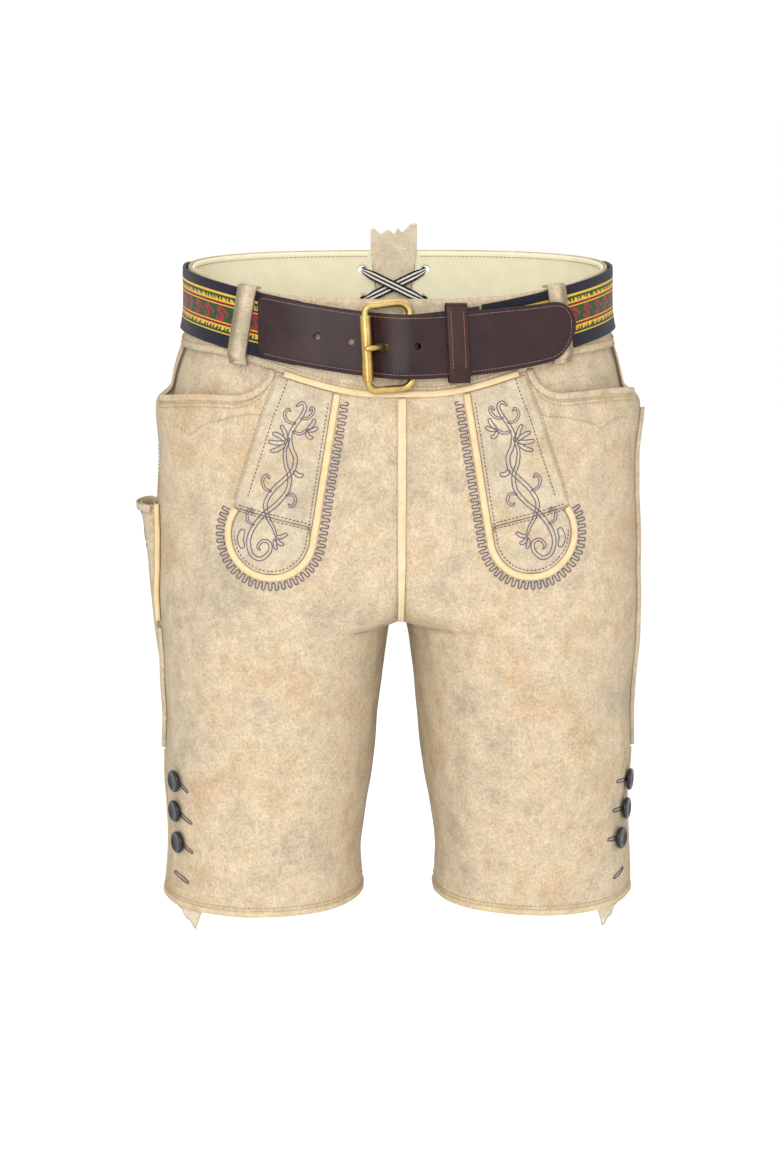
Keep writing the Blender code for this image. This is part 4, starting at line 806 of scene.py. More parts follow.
def mouthLine(side, count=150):
    # the edge of the pocket mouth as (angle, z), down from the waistband and out to the side
    first = mouthStart(side)
    level, short = mouth["edgeSide"]
    share = np.linspace(mouth["edgeStart"], 1.0, count) ** mouth["edgeCrowd"]
    phi = blend(first, sideSeam(level) - short, share)
    return np.append(first, phi), np.append(bandBottom(first) - sewingGap, mouthHeight(side, phi))


for word, side in sides.items():
    low = word.lower()
    rows = panel["upperRows"] + panel["lowerRows"]
    hung = ("hung", (f"waistband{word}",))
    for name, columns, high, point, thick in (
            ("front_panel", panel["columns"], rows, frontPanelPoint, panel["thick"]),
            ("back_panel", panel["columns"], rows, backPanelPoint, panel["thick"]),
            ("hip_piece", hip["cells"], hip["cells"], hipPoint, hip["thick"])):
        first, last = name.split("_")
        addSheet(first + last.title() + word, "suede", "suede", [f"{name}_{low}"], columns, high,
                 lambda u, v: point(side, u, v), thick, side, "edge", hung)
    phi, z = mouthLine(side)
    shift = 0.5 - mouth["over"] / mouth["width"]
    rolled = [(side * (across + shift), rise) for across, rise in bead(12, 0.55)]
    seamBar(f"pocketBinding{word}", "suede", [f"pocket_binding_{low}"], side, phi, z, rolled,
            mouth)
print("panels made")

# front trims with their piping
trim = {"lift": 0.6, "thick": 1.0, "seamX": 92.2, "seamZ": -67.0, "slope": 0.325, "tuck": 1.5, "topGap": 3.2,
        "crossX": 122.0, "crossZ": -177.0, "crossSlope": 0.235, "topX": 48.9, "topZ": -88.2,
        "tuckFades": (84.0, 108.0), "level": -80.0, "reach": (-76.0, -183.0), "cells": (26, 52)}
tip = {"x": 99.5, "z": -196.5, "radius": 32.5, "join": 188.6, "end": 396.0, "topOuter": 39.8,
       "topInner": 167.2, "lowOuter": -80.0, "lowInner": 260.0, "cells": (28, 32)}
piping = {"width": 5.4, "height": 2.2, "lift": 0.5}


def tipSpot(angle, radius=tip["radius"]):
    turn = np.radians(angle)
    return tip["x"] + radius * np.cos(turn), tip["z"] + radius * np.sin(turn)


def pipingX(z):
    joinX, joinZ = tipSpot(tip["join"])
    return blend(trim["topX"], joinX, (z - trim["topZ"]) / (joinZ - trim["topZ"]))


def trimSeamX(z):
    tuck = trim["tuck"] * (1 - ease(-z, *trim["tuckFades"]))
    return trim["seamX"] + (trim["seamZ"] - z) * trim["slope"] - tuck


def crossSeam(x):
    return trim["crossZ"] - (trim["crossX"] - x) * trim["crossSlope"]


def trimPoint(side, u, v):
    z = blend(*trim["reach"], v)
    margin = piping["width"] / 2 + sewingGap
    for _ in range(3):                               # both ends slope, so x and z settle on each other
        x = blend(pipingX(z) + margin, trimSeamX(z), u)
        top = bandBottom(angleAt(x, trim["level"], 1)) - trim["topGap"]
        z = blend(top, crossSeam(x), v)
    return place(side, angleAt(x, z, 1), z, trim["lift"] + trim["thick"])


def tipPoint(side, u, v):
    radius = tip["radius"] - piping["width"] / 2 - sewingGap
    outerX, outerZ = tipSpot(blend(tip["topOuter"], tip["lowOuter"], v), radius)
    innerX, innerZ = tipSpot(blend(tip["topInner"], tip["lowInner"], v), radius)
    x, z = blend(innerX, outerX, u), blend(innerZ, outerZ, u)
    return place(side, angleAt(x, z, 1), z, trim["lift"] + trim["thick"])


def pipingLine(offset=0.0, topZ=trim["topZ"], end=tip["end"]):
    # the piping's middle line, or one beside it on its outer side, as (x, z)
    joinX, joinZ = tipSpot(tip["join"])
    z = np.linspace(topZ, joinZ, 60)[:-1]
    slant = math.atan2(joinX - trim["topX"], trim["topZ"] - joinZ)
    straight = np.stack((pipingX(z) - offset * math.cos(slant), z - offset * math.sin(slant)), -1)
    turn = np.linspace(tip["join"], end, 120)
    return np.concatenate((straight, np.stack(tipSpot(turn, tip["radius"] + offset), -1)))


for word, side in sides.items():
    low = word.lower()
    sewn = ("laid", (f"frontPanel{word}",))
    addSheet(f"frontTrim{word}", "trim", "trim_suede", [f"front_trim_{low}"], *trim["cells"],
             lambda u, v: trimPoint(side, u, v), trim["thick"], side, "edge", sewn)
    addSheet(f"frontTrimTip{word}", "trim", "trim_suede", [f"front_trim_tip_{low}"], *tip["cells"],
             lambda u, v: tipPoint(side, u, v), trim["thick"], side, "edge", sewn)
    x, z = spaced(pipingLine(), 2.0)[0].T
    seamBar(f"trimPiping{word}", "piping", [f"trim_piping_{low}"], side, angleAt(x, z, 1), z,
            bead(), piping)

bandPiping = {"reach": 88.0, "width": 5.0, "height": 1.6, "lift": 1.35}
x = np.linspace(-bandPiping["reach"], bandPiping["reach"], 140)
z = bandBottom(angleAt(x, trim["level"], 1))
seamBar("waistbandPiping", "piping", ["waistband_piping"], 1, angleAt(x, z, 1), z, bead(),
        bandPiping)

centre = {"half": 3.2, "thick": 1.2, "crown": 0.5, "lift": 0.6, "end": -266.0, "clear": 1.3,
          "clears": (215.0, 252.0)}


def stripPoint(u, v):
    z = blend(band["frontZ"] - trim["topGap"], centre["end"], v)
    crown = centre["crown"] * (1 - (2 * u - 1) ** 2)
    lift = centre["lift"] + centre["thick"] + crown + centre["clear"] * ease(-z, *centre["clears"])
    return centrePlace(blend(-centre["half"], centre["half"], u), z, lift, 1)


addSheet("centreStrip", "strip", "piping", ["centre_strip"], 8, 90, stripPoint, centre["thick"])

welt = {"width": 9.0, "height": 3.3, "lift": 0.1, "top": {1: -113.0, -1: -283.0}, "end": -384.0}
for word, side in sides.items():
    z = np.linspace(welt["top"][side], welt["end"], 130)
    seamBar(f"sideWelt{word}", "suede", [f"side_welt_{word.lower()}"], side, sideSeam(z), z,
            bead(), welt)
print("trims made")

# leg ends: bound hem, button stand, vent edge and buttons
hem = {"width": 5.0, "height": 3.2, "lift": -1.9, "opening": 0.01, "vent": 0.05, "stitchUp": 2.4}
lap = {"top": -378.0, "inner": 2.17, "tuck": 0.12, "level": -440.0, "lift": -2.6, "thick": 1.4,
       "cells": (64, 44), "tabEnd": -521.0, "tabInner": 2.20, "tabPoint": 2.31, "tabOuter": 2.62,
       "tooth": 2.6, "teeth": 16, "above": 1.5}
vent = {"top": -388.0, "above": 1.0, "inset": 0.012, "width": 2.6, "height": 1.2, "lift": 0.0}
buttonPlaces = {-1: ((0.57, -402.0), (0.56, -427.0), (0.60, -452.0)),    # lead before the side, height
                1: ((0.33, -408.5), (0.42, -430.5), (0.58, -451.3))}
# radius, height of a dished button's section, from the middle over the rim to the back
buttonSection = ((0.0, 3.0), (3.0, 3.05), (4.9, 3.4), (6.1, 4.1), (7.2, 4.4), (8.2, 4.1), (8.8, 3.3),
                 (9.0, 2.3), (8.4, 0.8), (6.8, 0.2), (0.0, 0.0))


def lapEnd(phi, u):
    rising = (phi - lap["tabInner"]) / (lap["tabPoint"] - lap["tabInner"])
    falling = 1 - (phi - lap["tabPoint"]) / (lap["tabOuter"] - lap["tabPoint"])
    depth = np.where(phi > lap["tabPoint"], falling, rising)
    tooth = lap["tooth"] * (1 - 2 * np.abs((u * lap["teeth"] / 2) % 1.0 - 0.5))
    tab = blend(panel["hem"] - hem["width"], lap["tabEnd"], depth) + tooth
    return np.where(depth < 0, panel["hem"] + lap["above"], tab)


def lapPoint(side, u, v):
    phi = blend(lap["inner"], sideSeam(lap["level"]) + lap["tuck"], u)
    return place(side, phi, blend(lap["top"], lapEnd(phi, u), v), lap["lift"])


for word, side in sides.items():
    low = word.lower()
    start = hem["opening"] - hem["vent"]
    phi = np.linspace(math.pi + start, 3 * math.pi - hem["opening"] - hem["vent"], 220)
    seamBar(f"hemBinding{word}", "edge", [f"hem_binding_{low}"], side, phi,
            0 * phi + panel["hem"] - sewingGap - hem["width"] / 2, roundBar(), hem)
    addSheet(f"underlap{word}", "gusset", "suede", [f"underlap_{low}"], *lap["cells"],
             lambda u, v: lapPoint(side, u, v), lap["thick"], side, "edge", ("laid", (f"frontPanel{word}",)))
    z = np.linspace(vent["top"], panel["hem"] + vent["above"], 70)
    seamBar(f"ventEdge{word}", "edge", [], side, sideSeam(z) - vent["inset"], z, bead(), vent)
    for number, (lead, z) in enumerate(buttonPlaces[side], 1):
        phi = math.pi - lead
        button = addTurned(f"button{word}{number}", "horn", [f"button_{low}_{number}"],
                           buttonSection, 36, facingOut(side, phi, z), place(side, phi, z, 1.0))
        smooth = button.modifiers.new("smooth", "SUBSURF")
        smooth.levels = smooth.render_levels = 1
print("leg ends made")

# knife pocket on the wearer's right
# height, how far it stands out, width, angle behind the side
sheathRows = ((-187.5, 13.0, 46, 0.005), (-215, 9.8, 44, 0.03), (-250, 6.2, 40, 0.09),
              (-280, 4.8, 36, 0.17), (-322, 4.2, 30, 0.31))
sheath = {"wall": 1.5, "lift": 0.8, "square": 0.6, "flat": 3.0, "cells": (40, 44), "cuff": 5.5,
          "cuffThick": 1.4, "cuffRise": 0.4, "cuffStart": 0.03, "cuffCells": (40, 6), "foot": 4.0,
          "curlLift": 0.2, "curlThread": 0.4}
sheathPiping = {"top": -185.0, "end": -277.0, "width": 4.6, "height": 3.6, "lift": 0.6}
sheathCurves = [curveThrough(sheathRows, index) for index in range(1, 4)]


def sheathPoint(turn, z, grow=0.0):
    out, width, behind = (curve(z) for curve in sheathCurves)
    angle = 2 * math.pi * turn
    across = np.cos(angle)
    across = np.where(np.sin(angle) < -1e-9, np.sign(across) * np.abs(across) ** sheath["flat"], across)
    rise = (out + grow) * np.clip(np.sin(angle), 0.0, None) ** sheath["square"]
    phi = math.pi + behind - (width / 2 + grow) * across / ring(z).back
    return place(-1, phi, z, sheath["lift"] + rise)


def closeFoot(bm):
    foot = min(vert.co.z for vert in bm.verts) + sheath["foot"] * 0.001
    rim = [edge for edge in bm.edges if edge.is_boundary and edge.verts[0].co.z < foot]
    bmesh.ops.contextual_create(bm, geom=rim)


def cuffPoint(u, v):
    turn = blend(sheath["cuffStart"], 0.5 - sheath["cuffStart"], u)
    top = sheathRows[0][0] + sheath["cuffRise"]
    return sheathPoint(turn, top - sheath["cuff"] * v, sewingGap + sheath["cuffThick"])


top, foot = sheathRows[0][0], sheathRows[-1][0]
bm = gridOn(*sheath["cells"], lambda u, v: sheathPoint(u % 1.0, blend(top, foot, 1.0 - v)))
closeUp(bm, closeFoot)
thing = addPiece("knifePocket", toMesh(bm, "knifePocket"), "suede", ["knife_pocket"], "edge")
thicken(thing, sheath["wall"], rim=1)
addSheet("knifePocketCuff", "trim", "suede", ["knife_pocket_cuff"], *sheath["cuffCells"], cuffPoint,
         sheath["cuffThick"], 1, "edge")
z = np.linspace(sheathPiping["top"], sheathPiping["end"], 60)
seamBar("knifePocketPiping", "piping", ["knife_pocket_piping"], -1, sideSeam(z), z, bead(),
        sheathPiping)
print("knife pocket made")

# laced notch: tongue and lace
gusset = {"thick": 1.5, "end": -118.0, "top": 19.0, "margin": 0.35, "crowd": 1.15, "cells": (66, 60)}
# place across from the wearer's left, tooth height over the tongue's top
gussetTeeth = ((0.0, 5.0), (0.12, 5.5), (0.2, 2.5), (0.32, -2.0), (0.42, 1.8), (0.48, -3.2), (0.62, 0.4),
               (0.76, -3.0), (0.86, -1.2), (0.92, 1.6), (1.0, 0.2))
lace = {"width": 7.5, "thick": 0.9, "neck": 3.8, "under": -4.3, "over": -5.8, "bar": 2.0,
        "inside": ((0.4, -1.2), (0.8, -3.2), (3.4, -4.3), (8.5, None)),
        "outside": ((0.4, -0.6), (0.8, 1.1), (4.0, 2.0), (8.0, 2.0)),
        "black": "#1C1B24", "white": "#E9E6DD", "line": 0.2, "lineHalf": 0.1, "widens": (2.5, 8.0),
        "between": (0.35, 0.5, 0.65), "cells": (90, 10)}


def gussetPoint(u, v):
    top = gusset["top"] + np.interp(u, *zip(*gussetTeeth))
    z = blend(top, gusset["end"], v ** gusset["crowd"])
    half = notchHalf(np.minimum(z, band["topRise"])) - gusset["margin"]
    return centrePlace(blend(half, -half, u), z, 0.0, -1)


def laceYarn(u, v, width):
    # black edges and middle, two white lines
    white = (np.abs(np.abs(v - 0.5) - lace["line"]) < lace["lineHalf"])[:, None]
    return np.where(white, hexColour(lace["white"]), hexColour(lace["black"]))


def addLace(name, node, stops):
    x, z, lift = (np.array(column, float) for column in zip(*stops))
    route = centrePlace(x, z, lift, -1)
    ahead = unit(np.gradient(route, axis=0))
    broad = unit(np.cross(ahead, (0.0, 1.0, 0.0)))
    thin = np.cross(broad, ahead)
    far = np.concatenate(([0.0], np.cumsum(np.linalg.norm(np.diff(route, axis=0), axis=1))))
    fromEnd = np.minimum(far, far[-1] - far)
    width = lace["neck"] + (lace["width"] - lace["neck"]) * ease(fromEnd, *lace["widens"])

    def point(u, v):
        along = u * far[-1]
        pick = lambda values: np.stack([np.interp(along, far, values[:, k]) for k in range(3)], -1)
        across = (np.interp(along, far, width) * (v - 0.5))[:, None]
        return pick(route) + pick(broad) * across - pick(thin) * lace["thick"] / 2

    addSheet(name, "lace", "lace", [node], *lace["cells"], point, -lace["thick"], yarn=laceYarn)


addSheet("backGusset", "gusset", "gusset_suede", ["back_gusset"], *gusset["cells"], gussetPoint,
         gusset["thick"], 1, "edge", ("laid", ("waistFacingLeft", "waistFacingRight")))
(topX, topZ), (lowX, lowZ) = notch["eyelets"]
fall = (lowZ - topZ) / (topX + lowX)
for name, node, side, rest in (("laceCrossUnder", "lace_cross_under", 1, lace["under"]),
                               ("laceCrossOver", "lace_cross_over", -1, lace["over"])):
    near = [(step, rest if lift is None else lift) for step, lift in lace["inside"]]
    stops = [(side * (topX - step), topZ + fall * step, lift) for step, lift in near]
    for share in lace["between"]:
        run = (topX + lowX) * share
        stops.append((side * (topX - run), topZ + fall * run, rest))
    stops += [(-side * (lowX - step), lowZ - fall * step, lift) for step, lift in reversed(near)]
    addLace(name, node, stops)
for name, node, (x, z) in (("laceBarUpper", "lace_bar_upper", notch["eyelets"][0]),
                           ("laceBarLower", "lace_bar_lower", notch["eyelets"][1])):
    stops = [(x - step, z, lift) for step, lift in lace["outside"]]
    stops.append((0.0, z, lace["bar"]))
    stops.extend((-(x - step), z, lift) for step, lift in reversed(lace["outside"]))
    addLace(name, node, stops)
print("notch made")

# belt
belt = {"width": 48.0, "lift": 3.0, "side": -24.5, "sag": 28.0, "back": -44.0, "webThick": 2.2,
        "strapThick": 3.0, "bandPower": 1.4, "strapPower": 2.2, "webStart": -76.0, "webEnd": 60.0,
        "webCells": (780, 54), "webLevel": -40.0, "level": -45.0, "pick": 0.95}
strap = {"start": -105.0, "tip": 126.0, "corner": 6.0, "round": 20.0, "columns": 260, "rows": 26,
         "free": 60.0, "fall": 3.0, "narrow": 1.5, "hole": 2.6, "pitch": 24.6, "firstHole": -62.5,
         "holes": 5, "prongHole": 2, "prongShift": (-1.4, 0.0, -1.1), "prongSlot": (1.9, 1.25),
         "crowd": 0.035, "worn": 0.7, "wornPower": 14, "endPower": 2.4,
         "stitchIn": 3.0, "stitchPitch": 2.4, "stitchShare": 0.6, "stitchSunk": 0.05, "stitch": 0.3}
# x, lift of the strap's inner face: over the band, under the roller, over the bar, keeper, loop
strapLift = curveThrough(((-105, 5.6), (-70, 5.6), (-46, 3.4), (-31, 3.1), (-25, 3.1), (-19.5, 5.4),
                          (-12, 11.2), (-2, 14.0), (8, 14.4), (17, 11.6), (30, 7.7), (38, 7.45), (56, 7.3),
                          (78, 7.3), (100, 8.5), (118, 8.9), (126, 8.9)), 1)
buckle = {"x": -26.7, "bar": 6.9, "half": 31.9, "rollerCorner": 6.0, "barCorner": 9.0, "lift": 11.0,
          "barLift": 7.9, "rod": 2.8, "z": -52.5, "lean": -0.048, "tilt": 0.09, "roller": 4.4, "bore": 3.1,
          "rollerHalf": 24.8, "prong": 2.2, "eye": 4.5, "eyeShare": 0.54}
# x and lift along the prong from its eye to its tip; share of its length, share of its thickness
prongRoute = ((-0.7, 7.2), (-6.1, 8.0), (-12.1, 8.6), (-15.4, 11.0), (-17.6, 13.8), (-21.4, 17.2),
              (-26.5, 18.0), (-28.2, 17.5))
prongTaper = ((0.0, 0.75), (0.2, 1.0), (0.82, 1.0), (0.95, 0.85), (1.0, 0.45))
chape = {"end": 57.0, "straight": 23.0, "neck": 16.0, "clear": 0.9, "margin": 1.0, "back": 4.9, "front": 5.2,
         "thick": 1.6, "cells": (90, 24)}
keeper = {"x": 41.0, "width": 15.2, "half": 28.6, "thick": 1.4, "low": 2.6, "high": 11.9, "power": 7,
          "lean": -0.046, "level": -52.5, "crown": 0.35, "cells": (120, 12), "stitchIn": 3.0,
          "stitchHalf": 22.0, "stitchLift": 0.2}
# the woven band from its top edge down; each letter is one pick, and its figure repeats every 16
bandYarns = {"n": "#20202B", "g": "#2F4B2C", "y": "#D9AE3C", "r": "#7E1A26", "c": "#A0283A",
             "d": "#263F27"}
figure = (
    "gggggggccccggggg", "ggggggccccccgggg", "gdggggcccgccccgg", "ggggggccggggcccg",
    "cgggggcccggggccg", "ccggggggcccggggc", "cggdgggggcccgggg", "gggggccgggcccggg",
    "ggggcccgggcccggg", "gggggccccccccggg", "ggdgggccccccggdg", "ggggggggccgggggg")
spikes = ("yggyyggg", "yggyyygg", "yygyyyyg")        # flame-like and uneven, three picks high


def bandChart():
    # 48 picks across; plain rows are given by their letters alone
    edge = ["n" * 16] * 8 + [letter * 16 for letter in "ygg"] + [row * 2 for row in spikes]
    edge += [letter * 16 for letter in "yrry"]
    return [row * 3 for row in edge + ["g" * 16, *figure] + edge[::-1] + ["n" * 16] * 2]


def bandYarn(u, v, width):
    chart = bandChart()
    colours = np.array([[hexColour(bandYarns[letter]) for letter in row] for row in chart])
    row = np.clip((v * len(chart)).astype(int), 0, len(chart) - 1)
    return colours[row, (u * width * 1000 / belt["pick"]).astype(int) % len(chart[0])]


def beltMiddle(phi, power):
    share = widthShare(phi)
    front = belt["side"] - belt["sag"] * (1 - share ** power)
    return np.where(np.sin(phi) > 0, front, blend(belt["back"], belt["side"], share ** 2))


def webPoint(u, v):
    first, last = (angleAt(belt[end], belt["webLevel"], 1) for end in ("webEnd", "webStart"))
    phi = blend(first, last + 2 * math.pi, u)
    z = beltMiddle(phi, belt["bandPower"]) + belt["width"] * (0.5 - v)
    return place(1, phi, z, belt["lift"] + belt["webThick"], 0.0)


def strapHalf(x):
    start = np.clip((x - strap["start"]) / strap["corner"], 0.0, 1.0)
    end = np.clip((strap["tip"] - x) / strap["round"], 0.0, 1.0)
    corner = strap["corner"] * (1 - np.sqrt(1 - (1 - start) ** 2))
    half = belt["width"] / 2 - strap["narrow"] * ease(x, strap["free"], strap["tip"])
    return (half - corner) * np.sqrt(np.maximum(1 - (1 - end) ** strap["endPower"], 0.02))


def strapPoint(x, down, lift=0.0):
    # down is the distance below the strap's middle line
    phi = angleAt(x, belt["level"], 1)
    middle = np.where(x > 0, beltMiddle(phi, belt["strapPower"]), beltMiddle(phi, belt["bandPower"]))
    z = middle - strap["fall"] * ease(x, strap["free"], strap["tip"]) - down
    return place(1, angleAt(x, z, 1), z, strapLift(x) + belt["strapThick"] + lift, 0.0)


def strapSheet(u, v):
    # places are crowded at both ends, where the outline turns
    x = blend(strap["start"], strap["tip"], u - strap["crowd"] * np.sin(2 * math.pi * u))
    share = 2 * v - 1
    worn = -strap["worn"] * np.abs(share) ** strap["wornPower"]
    return strapPoint(x, strapHalf(x) * share, worn)


def waistSpot(x, z, lift):
    return place(1, angleAt(x, z, 1), z, lift, 0.0)


def chapePoint(u, v):
    # the leather's middle line as (x, lift), folded round the buckle's bar
    bend = buckle["rod"] + chape["clear"]
    run = np.linspace(chape["end"], chape["straight"], 8)
    path = [(x, chape["back"]) for x in run]
    path += [(chape["neck"], chape["back"] - 0.1), (buckle["bar"] + 3.0, buckle["barLift"] - bend - 0.1)]
    for angle in np.linspace(math.radians(-90), math.radians(-270), 13):                # round the bar
        path.append((buckle["bar"] + bend * math.cos(angle), buckle["barLift"] + bend * math.sin(angle)))
    path += [(buckle["bar"] + 4.0, buckle["barLift"] + bend - 0.5), (chape["neck"] + 1.0, 7.2)]
    path += [(x, chape["front"]) for x in run[::-1]]                                    # back over itself
    path = np.array(path)
    far = np.linspace(0, 1, len(path))
    x, lift = np.interp(u, far, path[:, 0]), np.interp(u, far, path[:, 1])
    middle = beltMiddle(angleAt(np.maximum(x, 0.0), belt["level"], 1), belt["bandPower"])
    z = middle + (belt["width"] - chape["margin"]) * (0.5 - v)
    lean = buckle["lean"] * (z - buckle["z"]) * (1 - ease(x, chape["neck"], chape["end"]))
    return waistSpot(x + lean, z, lift)


addSheet("beltWovenBand", "web", "woven_band", ["belt_woven_band"], *belt["webCells"], webPoint,
         belt["webThick"], 1, None, ("stretched", ("waistbandLeft", "waistbandRight")), bandYarn)
piece = addSheet("beltStrap", "belt", "belt_leather", ["belt_strap"], strap["columns"], strap["rows"],
                 strapSheet, belt["strapThick"], 1, None, ("stretched", ("beltWovenBand",)))
holes = []
for k in range(strap["holes"]):
    shift, stretch = (0.0, 0.0, 0.0), (1, 1)
    if k == strap["prongHole"]:
        shift, stretch = strap["prongShift"], strap["prongSlot"]
    x = strap["firstHole"] + k * strap["pitch"]
    inner, outer = strapPoint(x, 0.0, -8.0), strapPoint(x, 0.0, 4.0)
    holes.append(((inner + outer) / 2 + np.array(shift), outer - inner, strap["hole"], stretch))
punch(piece, holes)
addSheet("beltChape", "belt", "belt_leather", ["belt_chape"], *chape["cells"], chapePoint, chape["thick"],
         -1, None, ("folded", ("beltWovenBand",)))


def keeperPoint(u, v):
    phi = angleAt(keeper["x"], keeper["level"], 1)
    middleZ = (beltMiddle(phi, belt["bandPower"]) + beltMiddle(phi, belt["strapPower"])) / 2
    angle = 2 * math.pi * u
    cosine, sine = np.cos(angle), np.sin(angle)
    scale = (np.abs(cosine) ** keeper["power"] + np.abs(sine) ** keeper["power"]) ** (-1 / keeper["power"])
    z = middleZ + keeper["half"] * scale * cosine
    crown = keeper["crown"] * (1 - (2 * v - 1) ** 4)
    lift = blend(keeper["low"], keeper["high"], 0.5 + 0.5 * scale * sine) + crown * np.sign(sine)
    return waistSpot(keeper["x"] + keeper["width"] * (v - 0.5) + keeper["lean"] * (z - middleZ), z, lift)


bm = gridOn(*keeper["cells"], keeperPoint)
closeUp(bm)
thing = addPiece("beltKeeper", toMesh(bm, "beltKeeper"), "keeper", ["belt_keeper"])
thicken(thing, keeper["thick"], 1.0)


def buckleSpot(x, z, lift):
    base = waistSpot(0.0, buckle["z"], 0.0)
    normal = outward(math.pi / 2, buckle["z"])
    up = np.cross(normal, (1.0, 0.0, 0.0))
    across = x + buckle["lean"] * (z - buckle["z"])
    rise = z - buckle["z"] + buckle["tilt"] * (x - (buckle["x"] + buckle["bar"]) / 2)
    return base + np.array((across, 0.0, 0.0)) + up * rise + normal * lift


def addRod(name, node, points, radius, closed, thick):
    thing = addThread(name, "brass", [(points, thick, closed)], radius, 16)
    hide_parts(node)


def framePoints():
    # x of the bar, sign of the side inward from it, 1 above and -1 below, start angle, radius
    corners = ((buckle["x"], 1, 1, 180, buckle["rollerCorner"]),
               (buckle["bar"], -1, 1, 90, buckle["barCorner"]),
               (buckle["bar"], -1, -1, 0, buckle["barCorner"]),
               (buckle["x"], 1, -1, -90, buckle["rollerCorner"]))
    points, steps = [], 8
    for x, inward, top, start, radius in corners:
        for step in range(steps + 1):
            angle = math.radians(start - 90 / steps * step)
            spotX = x + inward * radius + radius * math.cos(angle)
            spotZ = buckle["z"] + top * (buckle["half"] - radius) + radius * math.sin(angle)
            share = (spotX - buckle["x"]) / (buckle["bar"] - buckle["x"])
            points.append(buckleSpot(spotX, spotZ, blend(buckle["lift"], buckle["barLift"], share)))
    return points


def prongPoints():
    # round the bar, then along the route; with the share of the prong's thickness at each point
    turn = np.linspace(math.radians(150), math.radians(-160), 28)
    eye = [(buckle["bar"] + buckle["eye"] * math.cos(angle),
            buckle["barLift"] + buckle["eye"] * math.sin(angle)) for angle in turn]
    route = smoothLine(prongRoute, 0.8)
    thick = [buckle["eyeShare"]] * len(eye)
    thick += list(np.interp(np.linspace(0, 1, len(route)), *zip(*prongTaper)))
    return [buckleSpot(x, buckle["z"], lift) for x, lift in eye + [tuple(spot) for spot in route]], thick


addRod("buckleFrame", "buckle_frame", framePoints(), buckle["rod"], True, 1.0)
points, thick = prongPoints()
addRod("buckleProng", "buckle_prong", points, buckle["prong"], False, thick)
radius, half, bore = buckle["roller"], buckle["rollerHalf"], buckle["bore"]
rollerSection = ((radius - 0.6, half), (radius, half - 0.7), (radius, 0.7 - half), (radius - 0.6, -half),
                 (bore, -half), (bore, half))
roller = addTurned("buckleRoller", "brass", ["buckle_roller"], rollerSection, 48,
                   buckleSpot(0, buckle["z"] + 1, 0) - buckleSpot(0, buckle["z"], 0),
                   buckleSpot(buckle["x"], buckle["z"], buckle["lift"]))
roller.data.set_sharp_from_angle(angle=math.radians(40))

loop = {"width": 15.5, "thick": 2.0, "lift": 5.9, "flat": 8.0, "corner": 0.04, "topLevel": -10.0,
        # rise over the waist's edge, lift: in front from inside the waist, behind from its face
        "start": {1: ((1.0, -0.8), (1.4, 1.6), (1.1, 4.4), (-0.6, 6.0)),
                  -1: ((-6.0, 1.2), (-6.2, 3.2), (-7.2, 5.2), (-10.5, 6.1))},
        "finish": ((-2.0, 5.9), (2.4, 4.9), (5.2, 2.2), (8.0, 1.2))}
# side, 1 front or -1 back, x at the top, x at the bottom
beltLoops = {"beltLoopFrontLeft": (1, 1, 114.5, 120.5), "beltLoopFrontRight": (-1, 1, 113.4, 121.2),
             "beltLoopBackLeft": (1, -1, 84.0, 86.0), "beltLoopBackRight": (-1, -1, 84.0, 86.0)}


def addBeltLoop(name, node, side, face, topX, bottomX):
    phi = angleAt(topX, loop["topLevel"], face)
    top, middle = float(waistTop(phi)), float(beltMiddle(phi, belt["bandPower"]))
    low = middle - belt["width"] / 2
    stops = [(top + rise, lift) for rise, lift in loop["start"][face]]
    stops += [(middle + loop["flat"], loop["lift"]), (middle - loop["flat"], loop["lift"])]
    stops += [(low - drop, lift) for drop, lift in loop["finish"]]
    z, lift = smoothLine(stops, 0.9).T
    x = blend(topX, bottomX, (top - z) / (top - low))
    route = place(side, angleAt(x, z, face), z, lift, 0.0)
    run = place(side, angleAt(bottomX, low, face), low, loop["lift"], 0.0) - route[len(route) // 3]
    aside = np.cross(unit(run), facingOut(side, phi, band["level"]))
    normals = unit(np.cross(aside, np.gradient(route, axis=0)))
    addBar(name, "suede", [node], route, normals, strip(loop["corner"]), loop["width"],
           loop["thick"], 0.0)


for name, (side, face, topX, bottomX) in beltLoops.items():
    node = "belt_loop_" + ("front" if face > 0 else "back") + ("_left" if side > 0 else "_right")
    addBeltLoop(name, node, side, face, topX, bottomX)
print("belt made")

# stitching and embroidery, raised on the suede; every line is given as (x, z) for the wearer's left
serpentine = {"offset": 6.8, "pitch": 5.0, "reach": 3.0, "start": -93.0, "end": 391.0, "full": 1.8,
              "lag": 0.4, "lift": 0.15}
trimRow = {"seamIn": 8.5, "pipingIn": 5.2, "reach": (-78.0, -170.0), "inner": (-96.0, 372.0),
           "crossReach": (-181.0, -176.0), "crossIn": (5.0, 2.0), "crossApart": 2.2, "share": 0.5,
           "crossShare": 0.6}
pocketRow = {"seamOut": 2.2, "reach": (-71.0, -172.0), "drops": (6.6, 9.6)}


def serpentineLine():
    # loops to and fro beside the piping, down the inner side and round the tip
    middle, stops = spaced(pipingLine(serpentine["offset"], serpentine["start"], serpentine["end"]), 0.4)
    along = unit(np.gradient(middle, axis=0))
    beside = np.stack((along[:, 1], -along[:, 0]), -1)
    turn = 2 * math.pi * stops / serpentine["pitch"]
    sway = np.tanh(serpentine["full"] * np.sin(turn))[:, None]
    lag = -serpentine["lag"] * np.sin(2 * turn)[:, None]
    return middle + beside * sway * serpentine["reach"] + along * lag


def trimMiddle(z):
    return (pipingX(z) + piping["width"] / 2 + trimSeamX(z)) / 2


